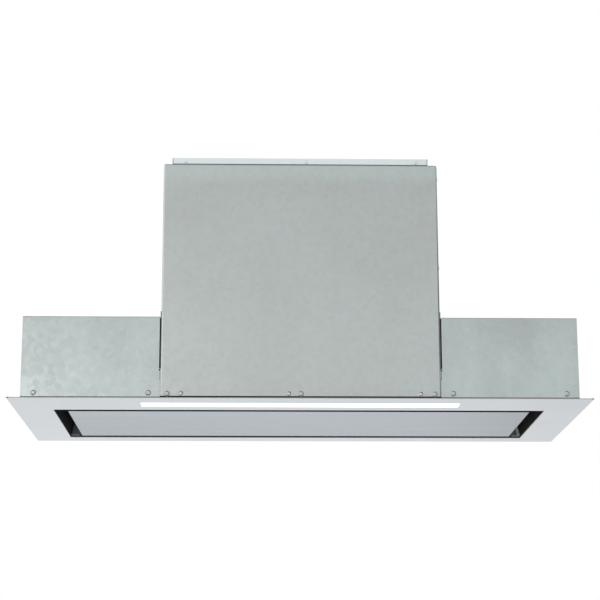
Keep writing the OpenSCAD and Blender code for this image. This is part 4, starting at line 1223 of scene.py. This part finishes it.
@dataclass
class DuctOutlet(SubAssembly):
    """The duct spigot with its gussets and rim bead, and the two non-return flaps."""

    coats = {BLACK_ABS: ["outlet_collar"], FLAP_PP: ["front_flap", "rear_flap"]}
    gussets: int = 12
    gusset_h: float = 11.0 * MM
    gusset_t: float = 1.8 * MM
    gusset_toe: float = 1.2 * MM
    # the share of the flange's width that a gusset reaches over
    gusset_reach: float = 0.9
    sink: float = 0.4 * MM
    bead_r: float = 0.9 * MM
    bead_drop: float = 9.0 * MM
    # how far the bead stands out and up or down, and how far up its foot is, as shares of its radius
    bead_round: Shares = ((0.5, -1.1), (1.0, 0.0), (0.5, 1.1))
    bead_foot: float = 1.6
    leaf_rise: float = 0.55 * MM
    rib_h: float = 2.4 * MM
    rib_t: float = 1.3 * MM
    rib_places: tuple[float, ...] = (-0.55, 0.0, 0.55)
    rib_start: float = 6.0 * MM
    rib_margin: float = 5.0 * MM
    rib_run_in: float = 2.0 * MM
    rib_run_out: float = 3.0 * MM
    steps: int = 96

    def build(self) -> None:
        """Builds the moulded details on the collar and on each flap."""
        self.collar_ribs()
        self.flap_ribs("front_flap", Body.FRONT_FLAP, -1)
        self.flap_ribs("rear_flap", Body.REAR_FLAP, 1)

    def collar_ribs(self) -> None:
        """Builds the gussets between flange and spigot and the bead that keeps the hose on."""
        low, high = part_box("outlet_collar")
        sizes = mounting("duct_outlet")
        centre = Vector(((low.x + high.x) / 2, (low.y + high.y) / 2, 0))
        spigot_r = sizes["r_mm"] * MM
        flange_top = high.z - sizes["length_mm"] * MM
        reach = self.gusset_reach * ((high.x - low.x) / 2 - spigot_r)
        sink, tall = self.sink, self.gusset_h
        foot = centre + Vector((0, 0, flange_top - sink))
        profile = (
            (-sink, 0.0), (reach, 0.0), (reach, sink + self.gusset_toe),
            (0.25 * reach, sink + 0.75 * tall), (-sink, sink + tall),
        )
        blank = Blank()
        for out in circle(1.0, 0.0, self.gussets):
            side = Vector((-out.y, out.x, 0)) * self.gusset_t
            steps = (out * (spigot_r + step) + Vector((0, 0, up)) for step, up in profile)
            blank.slab([foot - side / 2 + step for step in steps], side)
        middle, r = high.z - self.bead_drop, self.bead_r
        bead = [(spigot_r + stand * r, middle + up * r) for stand, up in self.bead_round]
        lower, upper = ((spigot_r - sink, middle + side * self.bead_foot * r) for side in (-1, 1))
        blank.lathe([lower, *bead, upper, lower], self.steps, Matrix.Translation(centre))
        bmesh.ops.remove_doubles(blank.mesh, verts=blank.mesh.verts, dist=0.001 * MM)
        make_piece("collar_gussets", blank, (BLACK_ABS,), Slot.BLACK_PLASTIC)

    def flap_ribs(self, node: str, body: Body, sign: int) -> None:
        """Builds the stiffening ribs on top of one flap.

        Args:
            node: The flap's node.
            body: The body that the flap rides on.
            sign: -1 for the front flap and 1 for the rear one.
        """
        low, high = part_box(node)
        # the leaf is thinner than the knuckle that the box includes
        leaf_top = (low.z + high.z) / 2 + self.leaf_rise
        root, tip = (high.y, low.y) if sign < 0 else (low.y, high.y)
        start = root + sign * self.rib_start
        blank = Blank()
        for share in self.rib_places:
            x = share * high.x - self.rib_t / 2
            end = root + sign * (math.sqrt(1 - share**2) * abs(tip - root) - self.rib_margin)
            crest = (end - sign * self.rib_run_out, start + sign * self.rib_run_in)
            places = ((start, 0.0), (end, 0.0), (crest[0], self.rib_h), (crest[1], self.rib_h))
            blank.slab([Vector((x, y, leaf_top + up)) for y, up in places], unit(0) * self.rib_t)
        make_piece(f"{node}_ribs", blank, (FLAP_PP,), Slot.FLAP_PLASTIC, body)


@dataclass
class CableGland(SubAssembly):
    """The gland: a chamfered hexagon under a ribbed dome, with a rubber bush in its bore."""

    ribs: int = 18
    groove: float = 0.05
    nut_h: float = 4.0 * MM
    # shares of the nut's radius and height where its chamfer ends and starts
    chamfer: Pair = (0.9, 0.72)
    # shares of the nut's radius for the dome and the neck, and of the neck for a thread's root
    dome_r: float = 0.8
    neck_r: float = 0.7
    root_r: float = 0.9
    # shares of the dome's radius and height, and of its height where the ribs end
    dome_side: Shares = ((1.0, 0.3), (0.98, 0.62), (0.93, 0.82), (0.83, 0.95), (0.72, 1.0))
    ribs_end: float = 0.9
    sheet: float = 3.0 * MM
    thread: float = 1.5 * MM
    # the bush's outer radius over the bore's
    bush: float = 1.12
    # shares of the bore's radius and of the dome's height
    rubber: Shares = ((1.0, 0.2), (1.12, 0.2), (1.12, 0.97), (1.06, 1.0), (1.0, 0.96), (1.0, 0.2))
    steps: int = 72
    turned_steps: int = 36

    def build(self) -> None:
        """Builds the gland in place of the plain one."""
        low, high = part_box("cable_gland")
        plate_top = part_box("rear_panel")[1].z
        across = (high.x - low.x) / 2
        bore = mounting("cable_inlet")["r_mm"] * MM
        up, down = high.z - plate_top, plate_top - low.z
        place = Matrix.Translation(((low.x + high.x) / 2, (low.y + high.y) / 2, plate_top))
        narrow, start, top = self.chamfer[0] * across, self.chamfer[1] * self.nut_h, self.nut_h
        nut = [(bore, 0.0), (across, 0.0), (across, start), (narrow, top), (bore, top), (bore, 0.0)]
        blank = Blank()
        blank.lathe(nut, 6, place)
        self.dome(blank, place, self.dome_r * across, bore, up)
        blank.lathe(self.tail(across, bore, down), self.turned_steps, place)
        blank.in_hand = 1
        blank.lathe([(out * bore, rise * up) for out, rise in self.rubber], self.turned_steps, place)
        make_piece(
            "ribbed_cable_gland", blank, (BLACK_ABS, GLAND_RUBBER), Slot.BLACK_PLASTIC,
            replaces=("cable_gland",), crease=30,
        )

    def dome(self, blank: Blank, place: Matrix, radius: float, bore: float, top: float) -> None:
        """Adds the dome, whose side is ribbed for a grip.

        Args:
            blank: The blank that gets the dome.
            place: The middle of its foot.
            radius: Its radius at the foot.
            bore: The radius of the gland's bore.
            top: Its height.
        """
        rows = []
        for share, rise in self.dome_side:
            ring = circle(1.0, rise * top, self.steps)
            for i, corner in enumerate(ring):
                wave = 0.5 + 0.5 * math.cos(self.ribs * 2 * math.pi * i / self.steps)
                corner.xy *= radius * (share - self.groove * wave * (rise < self.ribs_end))
            rows.append(ring)
        first, last = self.dome_side[0][1], self.dome_side[-1][1]
        rows += [circle(self.bush * bore, rise * top, self.steps) for rise in (last, first)]
        rings = [blank.points(place @ corner for corner in row) for row in rows]
        blank.join([*rings, rings[0]])

    def tail(self, across: float, bore: float, depth: float) -> Outline:
        """Gives the outline of the threaded tail and its lock nut under the top plate.

        Args:
            across: The hexagon's radius.
            bore: The radius of the gland's bore.
            depth: How far the tail reaches below the plate.

        Returns:
            The outline, from the plate down and back.
        """
        neck, top, level = self.neck_r * across, -self.sheet, -self.sheet - 0.5 * depth
        root = self.root_r * neck
        outline = [(bore, 0.0), (neck, 0.0), (neck, top), (across, top), (across, level), (neck, level)]
        while level - self.thread > -depth:
            outline += [(neck, level - 0.3 * self.thread), (root, level - 0.6 * self.thread)]
            level -= self.thread
        return [*outline, (root, -depth), (bore, -depth), (bore, 0.0)]


class Controls(SubAssembly):
    """The control box in the bay beside the funnel."""

    coats = {
        BLACK_ABS: ["control_box", "control_box_lid"],
        BOARD_GREEN: ["circuit_board"],
        RELAY_BLUE: ["circuit_components"],
    }


@dataclass
class PanScrews(SubAssembly):
    """Pan-head tapping screws with a cross recess and a thin washer face, one group for each node."""

    groups: tuple[str, ...] = ("cover", "wing", "rear", "collar", "casing", "inlet")
    head_r: float = 3.1 * MM
    head_h: float = 2.0 * MM
    washer_r: float = 4.2 * MM
    washer_h: float = 0.75 * MM
    washer_lap: float = 0.2 * MM
    # the share of its height that a sunk head keeps
    sunk: float = 0.1
    # the crown's drop and its extra roll at the rim, as shares of its height, and where the roll starts
    crown_drop: float = 0.10
    crown_roll: float = 0.42
    roll_from: float = 0.55
    shank_r: float = 1.7 * MM
    # shares of the shank's radius at a thread's root and at the point
    root_r: float = 0.78
    point_r: float = 0.7
    arm: float = 1.9 * MM
    arm_w: float = 0.95 * MM
    # the share of an arm that its walls slope over
    slope: float = 0.3
    recess: float = 1.1 * MM
    thread: float = 1.1 * MM
    rings: int = 11
    steps: int = 40
    shank_steps: int = 14

    def build(self) -> None:
        """Builds the screws in place of each node's plain ones."""
        turns = Random(7)
        for group in self.groups:
            node = f"{group}_screws"
            blank = Blank()
            for seat in seats(node):
                place = seat.place(turns.uniform(0, math.pi))
                blank.in_hand = 0
                blank.lathe(self.shank(seat.length), self.shank_steps, place)
                if group == "cover" and seat.outward.x < -0.5:
                    # the heads on the box's left side are sunk
                    foot = Matrix.Translation((0, 0, -self.head_h))
                    place = place @ foot @ Matrix.Diagonal((1, 1, self.sunk, 1)) @ foot.inverted()
                self.head(blank, place)
                # the washer face carries a painted shade on its upper and right sides
                blank.in_hand = 1
                blank.lathe(self.washer(), self.steps, place)
            make_piece(
                f"pan_head_{node}", blank, (SCREW_PLATED, RIM_SHADE_ZINC), Slot.SCREW_STEEL,
                replaces=(node,), crease=50,
            )

    def crown(self, radius: float) -> float:
        """Gives the height of a head's crown, which is flat and rolls down to its rim.

        Args:
            radius: The distance from its middle.

        Returns:
            The height there, below its top.
        """
        share = radius / self.head_r
        rolled = max(0.0, share - self.roll_from) / (1 - self.roll_from)
        return -self.head_h * (self.crown_drop * share**2 + self.crown_roll * rolled**2)

    def cut(self, x: float, y: float) -> float:
        """Gives the depth of the cross recess at a place on the head.

        Args:
            x: The place along one arm of the cross.
            y: The place along the other.

        Returns:
            The depth, as a height below the crown.
        """
        deepest = 0.0
        for along, across in ((abs(x), abs(y)), (abs(y), abs(x))):
            side = min(1.0, max(0.0, (self.arm_w / 2 - across) / (self.slope * self.arm_w) + 0.5))
            end = min(1.0, max(0.0, (self.arm - along) / (self.slope * self.arm)))
            deepest = max(deepest, side * end)
        return -self.recess * deepest

    def head(self, blank: Blank, place: Matrix) -> None:
        """Adds one head, whose crown is a fine net so that the recess can sink into it.

        Args:
            blank: The blank that gets the head.
            place: The middle of its top.
        """
        rows = []
        for i in range(self.rings + 1):
            radius = self.head_r * i / self.rings
            row = circle(radius, self.crown(radius), self.steps if i else 1)
            for corner in row:
                corner.z += self.cut(corner.x, corner.y)
            rows.append(blank.points(place @ corner for corner in row))
        drop = place.to_3x3() @ Vector((0, 0, -self.head_h - self.crown(self.head_r)))
        rows.append(blank.points(corner.co + drop for corner in rows[-1]))
        blank.join(rows)
        blank.face(rows[-1])

    def washer(self) -> Outline:
        """Gives the outline of the washer face round the foot of a head.

        Returns:
            The outline, with its edge rolled down.
        """
        foot, top = -self.head_h, -self.head_h + self.washer_h
        inner, rim = self.head_r - self.washer_lap, foot + 0.1 * self.washer_h
        return [(inner, foot), (inner, top), (self.washer_r, rim), (self.washer_r, foot), (inner, foot)]

    def shank(self, length: float) -> Outline:
        """Gives the outline of a threaded shank that ends in a blunt point.

        Args:
            length: The whole screw's length.

        Returns:
            The outline, from under the head to the point.
        """
        start, r, thread = -self.head_h + 0.02 * MM, self.shank_r, self.thread
        outline = [(0.0, start), (r, start)]
        for i in range(int((length - self.head_h) / thread)):
            top = -self.head_h - i * thread
            outline += [(r, top - 0.3 * thread), (self.root_r * r, top - 0.65 * thread)]
        return [*outline, (self.point_r * r, -length + 0.1 * MM), (0.0, -length)]


@dataclass
class BlindRivets(SubAssembly):
    """Blind rivets of the lip: a low dome with the broken end of its mandrel in the middle."""

    head_r: float = 2.4 * MM
    head_h: float = 0.45 * MM
    mandrel_r: float = 0.45 * MM
    stem_r: float = 1.6 * MM
    # shares of the mandrel's and of the head's radius, with their depth below the top in millimetres
    mandrel: Shares = ((0.0, 0.15), (0.8, 0.12), (1.0, 0.15), (1.0, 0.0), (1.35, 0.0))
    dome: Shares = ((0.75, 0.12), (0.94, 0.28), (1.0, 0.42))
    steps: int = 32

    def build(self) -> None:
        """Builds the rivets in place of the plain ones."""
        head = [(share * self.mandrel_r, -depth * MM) for share, depth in self.mandrel]
        head += [(share * self.head_r, -depth * MM) for share, depth in self.dome]
        head += [(self.head_r, -self.head_h), (self.stem_r, -self.head_h)]
        blank = Blank()
        for seat in seats("lip_rivets"):
            stem = [(self.stem_r, -seat.length), (0.0, -seat.length)]
            blank.lathe(head + stem, self.steps, seat.place(0))
        make_piece("blind_rivets", blank, (LIP_ZINC,), Slot.SCREW_STEEL, replaces=("lip_rivets",))


# Studio


@dataclass(frozen=True)
class Softbox:
    """A rectangular lamp with a plain white cloth."""

    name: str
    place: tuple[float, float, float]
    width: float
    height: float
    watts: float

    def build(self, target: Vector) -> None:
        """Hangs the lamp, points it at a target and keeps it out of the camera's sight.

        Args:
            target: The place that the lamp faces.
        """
        data = bpy.data.lights.new(self.name, "AREA")
        data.shape = "RECTANGLE"
        data.size, data.size_y = self.width, self.height
        data.energy = self.watts
        lamp = bpy.data.objects.new(self.name, data)
        bpy.context.scene.collection.objects.link(lamp)
        lamp.location = self.place
        lamp.rotation_euler = (target - Vector(self.place)).to_track_quat("-Z", "Y").to_euler()
        lamp.visible_camera = False


@dataclass
class Studio:
    """The camera, the lamps, the white surround and the pale floor below the hood."""

    focal_px: float = 1714.76
    image_px: float = 600.0
    axis_px: Pair = (300.40, 321.02)
    eye: tuple[float, float, float] = (-0.0635, -2.6519, -0.4728)
    yaw: float = -0.02532
    pitch: float = 0.23480
    roll: float = -0.00203
    sensor: float = 36.0
    floor_z: float = -2.4
    floor_radius: float = 36.0
    floor_steps: int = 96
    floor_colour: str = "#F8F8F7"
    surround: float = 0.8
    lamps_face: tuple[float, float, float] = (0, 0, 0.18)
    # the key is at the left, a weak fill at the right, a wide one below and one behind
    softboxes: tuple[Softbox, ...] = (
        Softbox("key_softbox", (-0.9, -1.6, 0.1), 0.5, 0.5, 3.0),
        Softbox("fill_softbox", (2.4, -2.4, 0.6), 1.4, 1.4, 0.8),
        Softbox("low_softbox", (-0.2, 1.0, -1.0), 1.6, 1.0, 6),
        Softbox("rear_softbox", (0.8, 2.6, 1.6), 2.0, 1.2, 10),
    )

    def build(self) -> None:
        """Builds the whole studio."""
        self.camera()
        self.world()
        self.floor()
        for box in self.softboxes:
            box.build(Vector(self.lamps_face))
        bpy.context.scene.view_settings.view_transform = "Standard"

    def camera(self) -> None:
        """Sets the camera where the hood was looked at from: in front, a little below and to its left."""
        ahead = Vector((
            -math.sin(self.yaw) * math.cos(self.pitch),
            math.cos(self.yaw) * math.cos(self.pitch),
            math.sin(self.pitch),
        ))
        right = Vector((math.cos(self.yaw), math.sin(self.yaw), 0))
        up = right.cross(ahead)
        rolled = right * math.cos(self.roll) + up * math.sin(self.roll)
        upright = up * math.cos(self.roll) - right * math.sin(self.roll)
        turn = Matrix((rolled, upright, -ahead)).transposed()
        data = bpy.data.cameras.new("camera")
        data.sensor_width = self.sensor
        data.lens = self.focal_px / self.image_px * self.sensor
        data.shift_x = (self.image_px / 2 - self.axis_px[0]) / self.image_px
        data.shift_y = (self.axis_px[1] - self.image_px / 2) / self.image_px
        camera = bpy.data.objects.new("camera", data)
        camera.matrix_world = Matrix.Translation(self.eye) @ turn.to_4x4()
        bpy.context.scene.collection.objects.link(camera)
        bpy.context.scene.camera = camera

    def world(self) -> None:
        """Surrounds the hood with white that lights it at a plain level."""
        world = bpy.data.worlds.new("white_surround")
        world.use_nodes = True
        world.node_tree.nodes.clear()
        around = Surface(world.node_tree)
        # camera, gloss and glass see plain white, and only diffuse light gets the surround's level
        rays = around.add("LightPath").outputs
        sight, gloss, glass = (rays[f"Is {kind} Ray"] for kind in ("Camera", "Glossy", "Transmission"))
        glossy = around.add("Math", {0: sight, 1: gloss}, operation="MAXIMUM")
        seen = around.add("Math", {0: glossy, 1: glass}, operation="MAXIMUM")
        lighting = around.add("Background", {"Color": WHITE, "Strength": self.surround})
        shown = around.add("Background", {"Color": WHITE, "Strength": 1.0})
        mixed = around.add("MixShader", {0: seen, 1: lighting, 2: shown})
        around.add("OutputWorld", {"Surface": mixed})
        bpy.context.scene.world = world

    def floor(self) -> None:
        """Lays a wide round pale floor well below the hood."""
        shape = bmesh.new()
        bmesh.ops.create_circle(shape, cap_ends=True, segments=self.floor_steps, radius=self.floor_radius)
        mesh = bpy.data.meshes.new("floor")
        shape.to_mesh(mesh)
        shape.free()
        mesh.materials.append(Finish("matt_white_floor", self.floor_colour, 0.9).material())
        floor = bpy.data.objects.new("floor", mesh)
        floor.location.z = self.floor_z
        bpy.context.scene.collection.objects.link(floor)
        floor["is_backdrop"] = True


def write_sizes() -> None:
    """Measures the frame's box and the dressed hood's box, in metres, and keeps neither."""
    boxes = {"cad": CAD_BOX, "visual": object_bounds()}
    {name: [list(corner) for corner in box] for name, box in boxes.items()}


def main() -> None:
    """Builds the studio, then each sub-assembly, and reports each piece."""
    logging.basicConfig(level=logging.INFO, format="%(message)s")
    Studio().build()
    for part in (
        Housing(), Suction(), GreaseFilters(), LightStrip(), Blower(), DuctOutlet(), CableGland(),
        Controls(), PanScrews(), BlindRivets(),
    ):
        part.build()
        part.dress()
    write_sizes()


if __name__ == "__main__":
    main()
